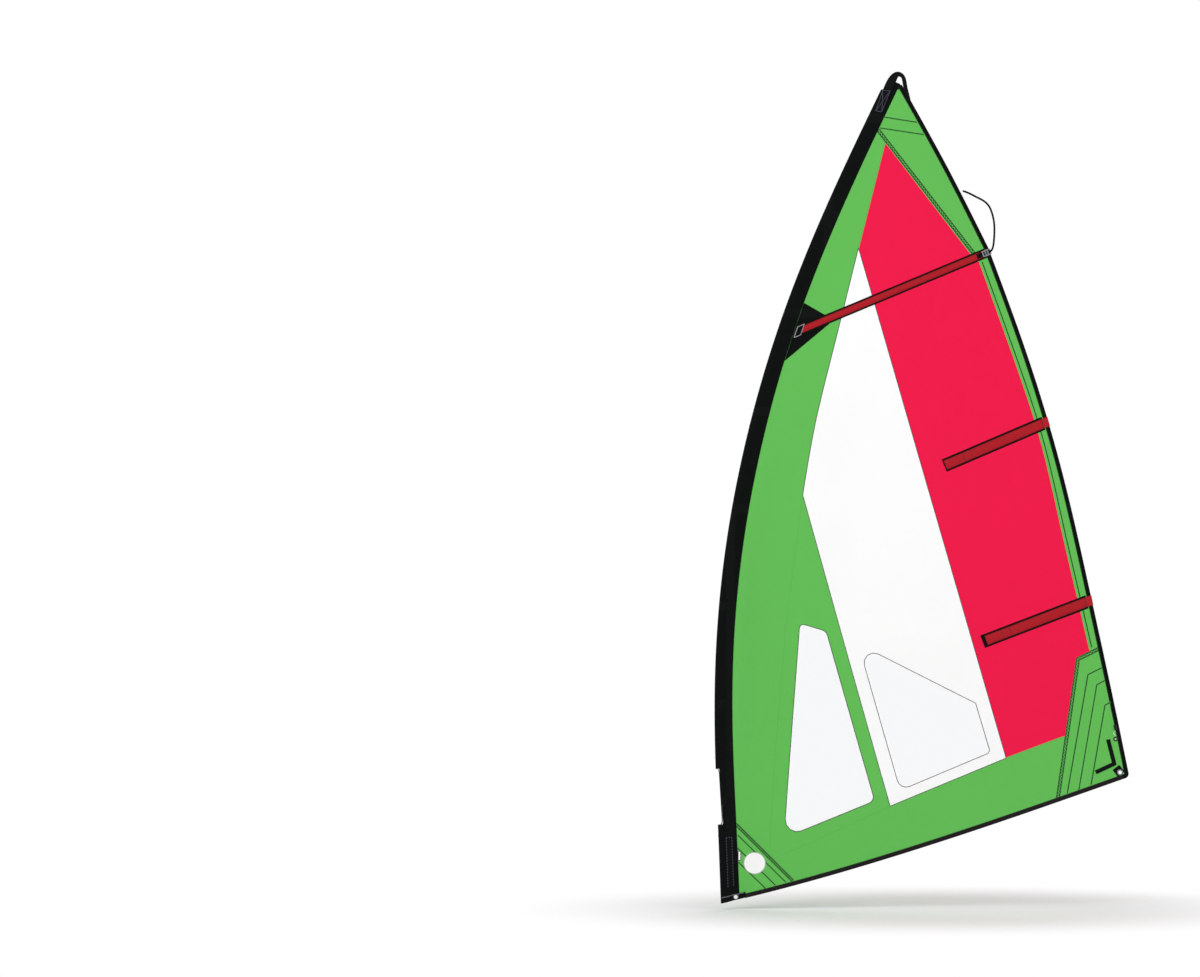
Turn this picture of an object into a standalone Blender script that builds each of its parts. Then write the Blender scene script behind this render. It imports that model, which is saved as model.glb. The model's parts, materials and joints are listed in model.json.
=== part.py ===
"""A windsurf sail for a one-design board: panels, luff sleeve, windows, battens, tensioner, clew and tack.

Metres. X runs aft to the clew, Z up the luff and Y through the cloth, with the front face at -Y.
The origin is the mast's axis at the mouth of the luff sleeve.
"""

import math

import bmesh
import bpy
import numpy as np
from mathutils import Vector, geometry

# Outline of the sail, as (height, x) for luff and leech and (x, height) for the foot
LUFF = (
    (0.0, -0.027),
    (0.394, -0.042),
    (0.835, -0.058),
    (1.142, -0.058),
    (1.757, -0.012),
    (2.372, 0.101),
    (2.987, 0.280),
    (3.601, 0.526),
    (4.190, 0.803),
)
LEECH_BELOW_KINK = (
    (0.649, 2.066),
    (0.989, 1.996),
    (1.603, 1.863),
    (2.218, 1.720),
    (2.833, 1.535),
    (3.360, 1.343),
)
LEECH_ABOVE_KINK = ((3.360, 1.343), (3.755, 1.143), (4.195, 0.900))
FOOT = ((-0.027, -0.002), (0.152, 0.041), (0.793, 0.220), (1.274, 0.374), (2.066, 0.649))
CLEW_CORNER = (2.066, 0.649)
CLEW_CORNER_RADIUS = 0.025

# Cloth and its layers
CLOTH = 0.0008
PATCH = 0.0005
PATCH_ROOM = 0.0008
GAP = 0.0003
SEAM_GAP = 0.0003
FILM = 0.0005

# Belly of the rigged sail
BELLY_DEPTH = 0.075
BELLY_TOP = 2.75
BELLY_FOOT = 0.12
BELLY_AFT = 0.62
BELLY_COLUMNS = (0.0, 0.12, 0.27, 0.44, 0.62, 0.81, 1.0)
BELLY_ROWS = (0.0, 0.07, 0.16, 0.27, 0.40, 0.54, 0.69, 0.85, 1.0)

# Luff sleeve, a folded band that narrows from foot to head
SLEEVE_TOP = 4.17
SLEEVE_WIDTH_FOOT = 0.097
SLEEVE_WIDTH_HEAD = 0.076
SLEEVE_CLOTH = 0.0012
SLEEVE_NOSE_FOOT = 0.027
SLEEVE_NOSE_HEAD = 0.017
SLEEVE_NOSE_TIP = 0.008
SLEEVE_TIP = 0.25
SLEEVE_END_SLANT = 0.47
SLEEVE_LIP = 0.014
MOUTH_LIP_START = 0.058
MOUTH_BAND_HEIGHT = 0.033
MOUTH_BAND_WIDTH = 0.128
SEAM_TUCK = 0.012
SLEEVE_JOINTS = (0.345, 0.745, 2.45)
CUTOUT_HEIGHTS = (0.400, 0.694)
CUTOUT_EDGE = (-0.016, -0.034)
CUTOUT_CORNER = 0.012

# Edge tapes
TAPE_WIDTH = 0.023
TAPE_CLOTH = 0.0006
LEECH_NOSE = 0.0027
LEECH_LIP_START = 0.010
FOOT_NOSE = 0.0014
FOOT_LIP_START = 0.003
LEECH_LINE_RADIUS = 0.00125
LEECH_HEM = 0.0085
FOOT_HEM = 0.0018

# Panel corners
RED_TOP = (0.815, 3.901)
WHITE_TOP = (0.678, 3.358)
WHITE_FRONT = (0.394, 2.093)
WINDOW_PANEL_FOOT = (0.220, 0.218)
WHITE_FOOT = (0.840, 0.499)
RED_FOOT = (1.434, 0.745)
RED_CLEW = (1.736, 0.858)
CLEW_INNER = (1.794, 1.258)
CLEW_TOP_HEIGHT = 1.319
CLEW_FOOT = (1.690, 0.540)
HEAD_SEAM_LUFF = (0.768, 3.955)
HEAD_SEAM_LEECH = (1.263, 3.316)
LUFF_PANEL_CURVE = ((2.093, 0.394), (2.477, 0.461), (2.784, 0.535), (3.358, 0.678))
STRIP_CURVE = (
    (1.292, 1.864),
    (1.555, 1.803),
    (1.965, 1.708),
    (2.375, 1.611),
    (2.784, 1.478),
    (3.286, 1.298),
)
FOOT_SEAM_LUFF = (0.055, 0.143)

# Windows: corners, and the radius at each
FRONT_WINDOW = ((0.380, 1.434), (0.515, 1.393), (0.761, 0.526), (0.296, 0.336))
FRONT_WINDOW_RADII = (0.020, 0.040, 0.035, 0.060)
REAR_WINDOW = ((0.680, 1.328), (1.278, 1.026), (1.353, 0.774), (0.892, 0.580))
REAR_WINDOW_RADII = (0.050, 0.012, 0.020, 0.045)
WINDOW_TAPE = 0.010
WINDOW_LAP = 0.004

# Battens: inner end of the pocket, its end at the leech, and its width
TOP_POCKET_START = (0.394, 2.942)
TOP_POCKET_END = (1.292, 3.316)
TOP_POCKET_WIDTH = 0.045
LEECH_POCKETS = {
    "mid": ((1.117, 2.243), (1.654, 2.472)),
    "low": ((1.314, 1.341), (1.876, 1.556)),
}
LEECH_POCKET_WIDTH = 0.064
LEECH_POCKET_MARGIN = 0.007
LEECH_POCKET_END_BANDS = {"mid": 0.007, "low": 0.020}
TOP_POCKET_MARGIN = 0.006
POCKET_HEM = 0.003
POCKET_SLOPE = 0.003
POCKET_CLOTH = 0.0008
POCKET_ROOM = 0.0045
NOSE_POCKET_LENGTH = 0.043
NOSE_POCKET_WIDTH = 0.048
BATTEN_THICK = 0.0030
LEECH_BATTEN_WIDTH = 0.030
TOP_BATTEN_WIDTH = 0.018
FLAP_LENGTH = 0.028
FLAP_WIDTH = 0.050
FLAP_CLOTH = 0.0009
BATTEN_PLAY = 0.012
BATTEN_LIFT = 0.0001
LEECH_BATTEN_INSET = 0.030
TOP_BATTEN_NOSE = 0.020
TOP_BATTEN_TAIL = 0.026
ELASTIC_LENGTH = 0.014
ELASTIC_WIDTH = 0.026

# Tensioner on the top batten, measured along the pocket from its named end
BUCKLE_START = 0.0225
BUCKLE_HINGE = 0.0228
BUCKLE_BASE = 0.0092
BUCKLE_LENGTH = 0.046
BUCKLE_WIDTH = 0.033
BUCKLE_SLOTS = ((0.0065, 0.0140), (0.0195, 0.0260), (0.0325, 0.0395))
ANCHOR_WIDTH = 0.026
ANCHOR_THICK = 0.0016
STRAP_WIDTH = 0.010
STRAP_THICK = 0.0016
STRAP_LEVEL = 0.0126
STRAP_TIP_LEVEL = 0.0032
STRAP_THREAD = ((0.0010, 0.0082), (0.0032, 0.0106), (0.0056, 0.0124), (0.0120, STRAP_LEVEL))
STRAP_ARCH = (
    (1.3640, 3.3560, 0.0),
    (1.3700, 3.3850, 0.0),
    (1.3730, 3.4250, 0.02),
    (1.3735, 3.4600, 0.04),
    (1.3700, 3.5000, 0.08),
    (1.3590, 3.5430, 0.17),
    (1.3450, 3.5730, 0.28),
    (1.3220, 3.5965, 0.42),
    (1.2757, 3.6220, 0.66),
    (1.2400, 3.6400, 0.85),
    (1.2100, 3.6510, 1.0),
)

# Clew and tack hardware
CLEW_RING = (2.018, 0.672)
TACK_RING = (0.0495, 0.034)
RING_HOLE = 0.009
RING_FLANGE = 0.016
TACK_FLANGE = 0.0142
RING_PLATE = 0.0010
RING_BARREL = 0.0010
RING_CUT = RING_HOLE + RING_BARREL + GAP
CLEW_SQUARE = (2.010, 0.680)
CLEW_SQUARE_SIDE = 0.044
CLEW_SQUARE_TILT = math.radians(37)
CLEW_STRAP_TOP = (1.957, 0.838)
CLEW_STRAP_BEND = (1.988, 0.716)
CLEW_STRAP_FOOT = (1.895, 0.673)
CLEW_STRAP_WIDTH = 0.016
CLEW_STRAP_THICK = 0.0012
LINE_EYELET = (1.995, 0.843)
LINE_CLEAT = (1.9935, 0.901)
EYELET_HOLE = 0.006
EYELET_FLANGE = 0.0125
EYELET_PLATE = 0.0012

# Black cloth that closes the head between the sleeve's end and the leech tape
HEAD_GUSSET = ((0.8435, 4.1712), (0.8765, 4.1712), (0.8960, 4.1800), (0.8890, 4.1958), (0.8655, 4.2065))

# Head strap: the height and edges of its sewn part on the sleeve, at its foot and top, then its loop as
# (x, z, distance in front of the cloth, half width, how far its front edge stands out, slant of its section)
HEAD_STRAP_HEIGHTS = (4.062, 4.166)
HEAD_STRAP_FRONT = (0.021, 0.008)
HEAD_STRAP_AFT = (0.055, 0.047)
HEAD_STRAP_THICK = 0.0012
HEAD_LOOP_THICK = 0.0028
HEAD_LOOP = (
    (0.8244, 4.1690, 0.0083, 0.0188, 0.0023, 0.56),
    (0.8440, 4.2060, 0.0066, 0.0225, 0.0014, 0.25),
    (0.8585, 4.2310, 0.0054, 0.0195, 0.0005, 0.05),
    (0.8800, 4.2478, 0.0046, 0.0135, 0.0, 0.0),
    (0.9010, 4.2400, 0.0046, 0.0105, 0.0, 0.0),
    (0.9125, 4.2130, 0.0048, 0.0108, 0.0, 0.0),
    (0.9185, 4.1800, 0.0048, 0.0106, 0.0, 0.0),
    (0.9265, 4.1480, 0.0048, 0.0104, 0.0, 0.0),
    (0.9370, 4.1130, 0.0048, 0.0086, 0.0, 0.0),
)

# Marks sewn or stuck on the front face
DISC_CENTRE = (0.146, 0.207)
DISC_RADIUS = 0.056
LABEL_HEIGHTS = (0.222, 0.267)
LABEL_WIDTH = 0.013

RED = (0.835, 0.011, 0.067)
GREEN = (0.122, 0.509, 0.091)
POCKET_RED = (0.407, 0.014, 0.022)
FLAP_RED = (0.50, 0.02, 0.03)
WHITE = (0.90, 0.90, 0.90)
BLACK = (0.006, 0.008, 0.007)
BROWN_BLACK = (0.017, 0.014, 0.014)
FINISHES = {
    "green_cloth": (GREEN, 0.55, 0.0),
    "red_cloth": (RED, 0.55, 0.0),
    "white_cloth": (WHITE, 0.55, 0.0),
    "pocket_cloth": (POCKET_RED, 0.65, 0.0),
    "flap_cloth": (FLAP_RED, 0.65, 0.0),
    "sleeve_cloth": (BLACK, 0.7, 0.0),
    "edge_tape": (BLACK, 0.7, 0.0),
    "foot_tape": (BROWN_BLACK, 0.7, 0.0),
    "webbing": (BLACK, 0.8, 0.0),
    "window_film": ((0.87, 0.90, 0.93), 0.1, 0.0),
    "steel_ring": ((0.62, 0.62, 0.63), 0.25, 1.0),
    "grey_plastic": ((0.30, 0.31, 0.32), 0.4, 0.0),
    "black_plastic": ((0.02, 0.02, 0.02), 0.4, 0.0),
    "glass_fibre": ((0.75, 0.73, 0.62), 0.4, 0.0),
    "elastic": ((0.05, 0.05, 0.05), 0.8, 0.0),
    "white_line": (WHITE, 0.7, 0.0),
}


def clear_scene():
    for item in list(bpy.data.objects):
        bpy.data.objects.remove(item)


def finish(name):
    """The material of this name, made the first time it is asked for."""
    found = bpy.data.materials.get(name)
    if found:
        return found
    colour, roughness, metallic = FINISHES[name]
    made = bpy.data.materials.new(name)
    made.use_nodes = True
    shader = made.node_tree.nodes["Principled BSDF"]
    shader.inputs["Base Color"].default_value = (*colour, 1.0)
    shader.inputs["Roughness"].default_value = roughness
    shader.inputs["Metallic"].default_value = metallic
    return made


def add_solid(name, points, faces, material, pivot=(0.0, 0.0, 0.0), smooth=0.0):
    """An object from points and faces in world space, with its origin at the pivot."""
    pivot = Vector(pivot)
    mesh = bpy.data.meshes.new(name)
    mesh.from_pydata([Vector(point) - pivot for point in points], [], faces)
    work = bmesh.new()
    work.from_mesh(mesh)
    bmesh.ops.recalc_face_normals(work, faces=work.faces)
    work.to_mesh(mesh)
    work.free()
    mesh.materials.append(finish(material))
    if smooth:
        mesh.shade_smooth()
        mesh.set_sharp_from_angle(angle=smooth)
    made = bpy.data.objects.new(name, mesh)
    made.location = pivot
    bpy.context.scene.collection.objects.link(made)
    return made


def cut(solid, cutter):
    """Subtracts the cutter, which stays in the file as a wire guide."""
    cutter.hide_render = True
    cutter.display_type = "WIRE"
    step = solid.modifiers.new("cut by " + cutter.name, "BOOLEAN")
    step.operation = "DIFFERENCE"
    step.solver = "EXACT"
    step.object = cutter


def smooth_curve(stations):
    """The natural cubic spline through (position, value) stations, as a function."""
    at, value = np.array(stations, float).T
    step = np.diff(at)
    count = len(at)
    system = np.eye(count)
    load = np.zeros(count)
    for i in range(1, count - 1):
        system[i, i - 1 : i + 2] = step[i - 1], 2 * (step[i - 1] + step[i]), step[i]
        load[i] = 6 * ((value[i + 1] - value[i]) / step[i] - (value[i] - value[i - 1]) / step[i - 1])
    bend = np.linalg.solve(system, load)

    def value_at(position):
        i = int(np.clip(np.searchsorted(at, position) - 1, 0, count - 2))
        far = at[i + 1] - position
        near = position - at[i]
        cubic = (bend[i] * far**3 + bend[i + 1] * near**3) / (6 * step[i])
        left = (value[i] / step[i] - bend[i] * step[i] / 6) * far
        right = (value[i + 1] / step[i] - bend[i + 1] * step[i] / 6) * near
        return float(cubic + left + right)

    return value_at


luff_x = smooth_curve(LUFF)
leech_low_x = smooth_curve(LEECH_BELOW_KINK)
leech_high_x = smooth_curve(LEECH_ABOVE_KINK)
foot_z = smooth_curve(FOOT)
luff_panel_x = smooth_curve(LUFF_PANEL_CURVE)
strip_x = smooth_curve(STRIP_CURVE)
KINK = LEECH_ABOVE_KINK[0][0]


def leech_x(z):
    return leech_high_x(z) if z > KINK else leech_low_x(z)


def lean(curve, position):
    """Length along the curve for each unit of its position."""
    small = 0.001
    slope = (curve(position + small) - curve(position - small)) / (2 * small)
    return math.hypot(1.0, slope)


def sleeve_width(z):
    return SLEEVE_WIDTH_FOOT + (SLEEVE_WIDTH_HEAD - SLEEVE_WIDTH_FOOT) * z / SLEEVE_TOP


def aft_x(z, inset=0.0):
    """The sleeve's aft edge at this height, less an inset towards the luff."""
    return luff_x(z) + (sleeve_width(z) - inset) * lean(luff_x, z)


def leech_point(z, inset=0.0):
    return (leech_x(z) - inset * lean(leech_x, z), z)


def foot_point(x, inset=0.0):
    return (x, foot_z(x) + inset * lean(foot_z, x))


def span(start, end, count):
    return [float(value) for value in np.linspace(start, end, count)]


def luff_side(low, high, count, inset=SEAM_TUCK):
    return [(aft_x(z, inset), z) for z in span(low, high, count)]


def leech_side(high, low, count, inset=LEECH_HEM):
    return [leech_point(z, inset) for z in span(high, low, count)]


def foot_side(aft, front, count, inset=FOOT_HEM):
    return [foot_point(x, inset) for x in span(aft, front, count)]


def meet(first, second, third, fourth):
    """Where the line through the first two points crosses the line through the other two."""
    hit = geometry.intersect_line_line(
        *(Vector((x, 0.0, z)) for x, z in (first, second, third, fourth))
    )
    return (hit[0].x, hit[0].z)


def unit(vector):
    return vector / np.linalg.norm(vector)


def inset_outline(outline, distance):
    """The outline moved inwards by a distance, with mitred corners."""
    points = np.array(outline, float)
    before = np.roll(points, 1, axis=0)
    after = np.roll(points, -1, axis=0)
    area = float(np.sum(points[:, 0] * after[:, 1] - after[:, 0] * points[:, 1]))
    side = 1.0 if area > 0 else -1.0
    moved = []
    for point, last, following in zip(points, before, after):
        into = unit(point - last)
        out = unit(following - point)
        normal_in = side * np.array((-into[1], into[0]))
        normal_out = side * np.array((-out[1], out[0]))
        mitre = normal_in + normal_out
        mitre = mitre / max(float(mitre @ normal_in), 0.3)
        moved.append(tuple(point + distance * mitre))
    return moved


def rounded(corners, radii, shrink=0.0, steps=4):
    """A polygon moved inwards by shrink, with an arc at each corner."""
    corners = [np.array(corner) for corner in inset_outline(corners, shrink)]
    outline = []
    for i, corner in enumerate(corners):
        back = unit(corners[i - 1] - corner)
        ahead = unit(corners[(i + 1) % len(corners)] - corner)
        half = math.acos(float(np.clip(back @ ahead, -1, 1))) / 2
        radius = max(radii[i] - shrink, 0.003)
        centre = corner + unit(back + ahead) * radius / math.sin(half)
        start = corner + back * radius / math.tan(half) - centre
        end = corner + ahead * radius / math.tan(half) - centre
        turn = math.atan2(start[0] * end[1] - start[1] * end[0], float(start @ end))
        for step in range(steps + 1):
            angle = turn * step / steps
            spin = np.array(((math.cos(angle), -math.sin(angle)), (math.sin(angle), math.cos(angle))))
            outline.append(tuple(centre + spin @ start))
    return outline


def circle(centre, radius, steps=20):
    angles = [2 * math.pi * i / steps for i in range(steps)]
    return [(centre[0] + radius * math.cos(a), centre[1] + radius * math.sin(a)) for a in angles]


def contains(outline, x, z):
    """Whether a point lies inside an outline."""
    inside = False
    for i, (x1, z1) in enumerate(outline):
        x0, z0 = outline[i - 1]
        if (z0 > z) != (z1 > z) and x < x0 + (z - z0) * (x1 - x0) / (z1 - z0):
            inside = not inside
    return inside


def belly_shape(share, front_power, aft_power):
    """A hump from 0 to 1 and back over a share of the span, fuller at its start."""
    peak = front_power / (front_power + aft_power)
    top = peak**front_power * (1 - peak) ** aft_power
    return share**front_power * (1 - share) ** aft_power / top


def belly_node(across, up):
    """A corner of the belly's facets, as x, z and depth."""
    x = 0.6
    for _ in range(30):
        low = foot_z(x)
        z = low + (BELLY_FOOT + (1 - BELLY_FOOT) * up) * (BELLY_TOP - low)
        front = aft_x(z)
        x = front + across * BELLY_AFT * (leech_x(z) - front)
    depth = BELLY_DEPTH * belly_shape(across, 0.9, 1.6) * belly_shape(up, 0.8, 1.3)
    return (x, z, depth)


def belly_grid():
    return [[belly_node(across, up) for across in BELLY_COLUMNS] for up in BELLY_ROWS]


def belly_facets(grid):
    facets = []
    for lower, upper in zip(grid, grid[1:]):
        for i in range(len(lower) - 1):
            facets.append((lower[i], lower[i + 1], upper[i + 1]))
            facets.append((lower[i], upper[i + 1], upper[i]))
    return facets


GRID = belly_grid()
FACETS = belly_facets(GRID)
BELLY_EDGES = {
    frozenset((a[:2], b[:2])) for facet in FACETS for a, b in zip(facet, facet[1:] + facet[:1])
}


def belly(x, z):
    """How far the cloth's middle stands towards +Y, on the belly's flat facets."""
    for (x0, z0, d0), (x1, z1, d1), (x2, z2, d2) in FACETS:
        whole = (x1 - x0) * (z2 - z0) - (x2 - x0) * (z1 - z0)
        second = ((x - x0) * (z2 - z0) - (x2 - x0) * (z - z0)) / whole
        third = ((x1 - x0) * (z - z0) - (x - x0) * (z1 - z0)) / whole
        if min(second, third, 1 - second - third) >= -1e-6:
            return d0 + second * (d1 - d0) + third * (d2 - d0)
    return 0.0


def near_belly(outline):
    """Whether the belly's edges reach into the outline's box."""
    xs, zs = np.array(outline).T
    rows = [node for row in GRID for node in row]
    return (
        min(node[0] for node in rows) < xs.max()
        and max(node[0] for node in rows) > xs.min()
        and min(node[1] for node in rows) < zs.max()
        and max(node[1] for node in rows) > zs.min()
    )


def cloth(name, outline, front, back, material, holes=(), pivot=(0.0, 0.0, 0.0)):
    """A layer between two distances through the cloth, creased where the belly's facets meet."""
    loops = [list(outline), *[list(hole) for hole in holes]]
    corners = [point for loop in loops for point in loop]
    edges = []
    start = 0
    for loop in loops:
        edges += [(start + i, start + (i + 1) % len(loop)) for i in range(len(loop))]
        start += len(loop)
    if near_belly(outline):
        for edge in sorted(sorted(pair) for pair in BELLY_EDGES):
            edges.append((len(corners), len(corners) + 1))
            corners += edge
    flat = geometry.delaunay_2d_cdt([Vector(corner) for corner in corners], edges, [], 0, 1e-5)
    spots, triangles = flat[0], flat[2]
    kept = []
    for triangle in triangles:
        x = sum(spots[i].x for i in triangle) / 3
        z = sum(spots[i].y for i in triangle) / 3
        if contains(outline, x, z) and not any(contains(hole, x, z) for hole in holes):
            kept.append(tuple(triangle))
    used = sorted({i for triangle in kept for i in triangle})
    place = {old: new for new, old in enumerate(used)}
    depth = [belly(spots[i].x, spots[i].y) for i in used]
    points = [(spots[i].x, front + d, spots[i].y) for i, d in zip(used, depth)]
    points += [(spots[i].x, back + d, spots[i].y) for i, d in zip(used, depth)]
    count = len(used)
    faces = [tuple(place[i] for i in triangle) for triangle in kept]
    rim = {}
    for face in faces:
        for pair in zip(face, face[1:] + face[:1]):
            rim[pair] = pair[::-1] not in rim
            if not rim[pair]:
                rim[pair[::-1]] = False
    sides = [(b, a, a + count, b + count) for (a, b), open_edge in rim.items() if open_edge]
    faces += [tuple(i + count for i in reversed(face)) for face in faces[: len(kept)]]
    return add_solid(name, points, faces + sides, material, pivot)


def front_layer(level):
    """The front and back of a patch layer on the sail's front face."""
    back = -(CLOTH / 2 + GAP + (level - 1) * (PATCH + GAP))
    return back - PATCH, back


def back_layer(level):
    front, back = front_layer(level)
    return -back, -front


def panel(name, outline, material, holes=()):
    return cloth(name, inset_outline(outline, SEAM_GAP / 2), -CLOTH / 2, CLOTH / 2, material, holes)


def loft(name, loops, material, pivot=(0.0, 0.0, 0.0), smooth=0.0):
    """A solid through closed loops of the same number of points, with both ends filled."""
    count = len(loops[0])
    points = [point for loop in loops for point in loop]
    faces = [tuple(range(count))]
    for ring in range(len(loops) - 1):
        for i in range(count):
            j = (i + 1) % count
            base = ring * count
            faces.append((base + i, base + j, base + count + j, base + count + i))
    faces.append(tuple(range(len(points) - 1, len(points) - count - 1, -1)))
    return add_solid(name, points, faces, material, pivot, smooth)


def teardrop_side(radius, nose, lip_start, width, lip, steps):
    """One side of a folded band, from its round nose to its lip, as (inward, through) points."""
    reach = math.hypot(lip_start - nose, lip)
    end = math.atan2(lip, lip_start - nose) + math.acos(radius / reach)
    arc = [(nose + radius * math.cos(a), radius * math.sin(a)) for a in span(math.pi, end, steps)]
    return [*arc, (lip_start, lip), (width, lip)]


def folded_section(nose, lip_start, width, thickness, steps, clear=CLOTH / 2 + GAP):
    """The closed outline of a band folded round an edge, open at its lips."""
    outer = teardrop_side(nose, nose, lip_start, width, clear + thickness, steps)
    inner = teardrop_side(nose - thickness, nose, lip_start, width, clear, steps)
    mirrored_inner = [(d, -y) for d, y in inner[1:]]
    mirrored_outer = [(d, -y) for d, y in outer[1:]]
    return outer + inner[::-1] + mirrored_inner + mirrored_outer[::-1]


def path_frames(path):
    """Each point of an edge path with its direction and the direction into the sail."""
    path = np.array(path, float)
    along = np.gradient(path, axis=0)
    frames = []
    for point, step in zip(path, along):
        ahead = unit(step)
        frames.append((point, ahead, np.array((ahead[1], -ahead[0]))))
    return frames


def placed(frame, section, skew=0.0):
    """A section's points at one frame of a path, leant along the path by the skew."""
    point, ahead, inward = frame
    loop = []
    for into, through in section:
        spot = point + inward * into + ahead * into * skew
        loop.append((spot[0], through, spot[1]))
    return loop


def sleeve_nose(z):
    """Radius of the sleeve's front: room for the mast, drawn in over its tip."""
    taper = SLEEVE_NOSE_FOOT + (SLEEVE_NOSE_HEAD - SLEEVE_NOSE_FOOT) * z / SLEEVE_TOP
    tip = max(0.0, (z - SLEEVE_TOP + SLEEVE_TIP) / SLEEVE_TIP)
    return taper + (SLEEVE_NOSE_TIP - taper) * tip**2


def sleeve_lip_start(z):
    """Where the sides close on the sail: early at the mouth, near the aft edge higher up."""
    share = min(1.0, z / 0.25)
    ease = share * share * (3 - 2 * share)
    return MOUTH_LIP_START + (sleeve_width(z) - SLEEVE_LIP - MOUTH_LIP_START) * ease


def sleeve_skew(z):
    """The mouth is cut along the foot, the end level, and the seams between them square to the luff."""
    foot_slope = (foot_z(0.12) - foot_z(-0.02)) / 0.14
    luff_slope = (luff_x(0.05) - luff_x(0.0)) / 0.05
    mouth = (foot_slope + luff_slope) * max(0.0, 1.0 - z / SLEEVE_JOINTS[0])
    share = max(0.0, (z - SLEEVE_TOP + SLEEVE_TIP) / SLEEVE_TIP)
    return mouth + SLEEVE_END_SLANT * share * share * (3 - 2 * share)


def sleeve_frame(z):
    small = 0.002
    point = np.array((luff_x(z), z))
    ahead = unit(np.array((luff_x(z + small) - luff_x(z - small), 2 * small)))
    return point, ahead, np.array((ahead[1], -ahead[0]))


def sleeve_loop(z, width=None):
    section = folded_section(
        sleeve_nose(z), sleeve_lip_start(z), width or sleeve_width(z), SLEEVE_CLOTH, 7
    )
    return placed(sleeve_frame(z), section, sleeve_skew(z))


def sleeve_length(name, heights):
    loops = [sleeve_loop(z) for z in heights]
    return loft(name, loops, "sleeve_cloth", smooth=math.radians(35))


def sleeve_depth(z, inward):
    """Half the sleeve's thickness at a distance in from the luff."""
    side = teardrop_side(
        sleeve_nose(z), sleeve_nose(z), sleeve_lip_start(z), sleeve_width(z),
        CLOTH / 2 + GAP + SLEEVE_CLOTH, 24,
    )
    return float(np.interp(inward, *np.array(side).T))


def sleeve_strip(name, spots, lift, thickness, material):
    """A strip sewn on the sleeve's front side: (height, front distance, aft distance) down its length."""
    loops = []
    for z, front, aft in spots:
        frame = sleeve_frame(z)
        across = span(front, aft, 4)
        low = [(d, -sleeve_depth(z, d) - lift) for d in across]
        top = [(d, -sleeve_depth(z, d) - lift - thickness) for d in across]
        loops.append(placed(frame, low + top[::-1], sleeve_skew(z)))
    return loft(name, loops, material)


def make_sleeve():
    mouth, cut_start, cut_end = MOUTH_BAND_HEIGHT, SLEEVE_JOINTS[0], SLEEVE_JOINTS[1]
    half = SEAM_GAP / 2
    sleeve_length("luff_sleeve_lower", span(mouth + half, cut_start - half, 7))
    guard = sleeve_length("boom_cutout_panel", span(cut_start + half, cut_end - half, 6))
    sleeve_length("luff_sleeve_middle", span(cut_end + half, SLEEVE_JOINTS[2] - half, 14))
    straight = span(SLEEVE_JOINTS[2] + half, SLEEVE_TOP - SLEEVE_TIP, 12)
    tip = span(SLEEVE_TOP - SLEEVE_TIP, SLEEVE_TOP, 7)
    sleeve_length("luff_sleeve_upper", straight + tip[1:])
    band = loft(
        "sleeve_mouth_band",
        [sleeve_loop(z, MOUTH_BAND_WIDTH) for z in (0.0, mouth / 2, mouth - half)],
        "edge_tape",
        smooth=math.radians(35),
    )
    cut(band, cloth("tack_ring_cutter", circle(TACK_RING, RING_CUT), -0.01, 0.01, "edge_tape"))
    low, high = CUTOUT_HEIGHTS
    reach = -0.12
    corners = ((reach, low), (CUTOUT_EDGE[0], low), (CUTOUT_EDGE[1], high), (reach, high))
    window = rounded(corners, (0.004, CUTOUT_CORNER, CUTOUT_CORNER, 0.004))
    cut(guard, cloth("boom_cutout_cutter", window, -0.05, 0.05, "edge_tape"))


def cutout_piping():
    """A piped edge round the boom cut-out: up one side, round the nose, and down the other."""
    radius = 0.0018
    clear = radius + 0.0006
    low, high = CUTOUT_HEIGHTS
    corner = 0.010
    side = []
    for z in span(low + corner, high - corner, 5):
        share = (z - low) / (high - low)
        x = CUTOUT_EDGE[0] + (CUTOUT_EDGE[1] - CUTOUT_EDGE[0]) * share - clear
        side.append((x, z))
    route = [(x, -cutout_half_depth(x, z), z) for x, z in side]
    top = [(x, y, high - clear) for x, y in nose_arc(high - clear, side[-1][0] - corner * 0.7)]
    bottom = [(x, y, low + clear) for x, y in nose_arc(low + clear, side[0][0] - corner * 0.7)]
    route += top
    route += [(x, cutout_half_depth(x, z), z) for x, z in reversed(side)]
    route += bottom[::-1]
    ring_tube("cutout_piping", route, radius, 6, "edge_tape")


def cutout_half_depth(x, z):
    """Half the sleeve's mid-wall thickness at a point of the cut-out's edge."""
    return sleeve_depth(z, (x - luff_x(z)) / lean(luff_x, z)) - SLEEVE_CLOTH / 2


def nose_arc(z, from_x):
    """Points round the sleeve's nose in its mid-wall, from the front side to the back."""
    nose = sleeve_nose(z)
    radius = nose - SLEEVE_CLOTH / 2
    start = math.acos(max(-1.0, min(1.0, (from_x - luff_x(z) - nose) / radius)))
    return [
        (luff_x(z) + nose + radius * math.cos(a), -radius * math.sin(a))
        for a in span(start, 2 * math.pi - start, 9)
    ]


def ring_tube(name, route, radius, sides, material):
    """A tube along a closed route."""
    route = np.array(route, float)
    ahead = np.roll(route, -1, axis=0) - np.roll(route, 1, axis=0)
    centre = route.mean(axis=0)
    points = []
    for spot, step in zip(route, ahead):
        step = unit(step)
        out = unit(np.cross(step, np.cross(spot - centre, step)))
        side = np.cross(step, out)
        for i in range(sides):
            angle = 2 * math.pi * i / sides
            points.append(tuple(spot + radius * (math.cos(angle) * out + math.sin(angle) * side)))
    faces = []
    count = len(route)
    for ring in range(count):
        for i in range(sides):
            j = (i + 1) % sides
            after = (ring + 1) % count
            faces.append((ring * sides + i, ring * sides + j, after * sides + j, after * sides + i))
    return add_solid(name, points, faces, material, smooth=math.radians(60))


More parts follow.
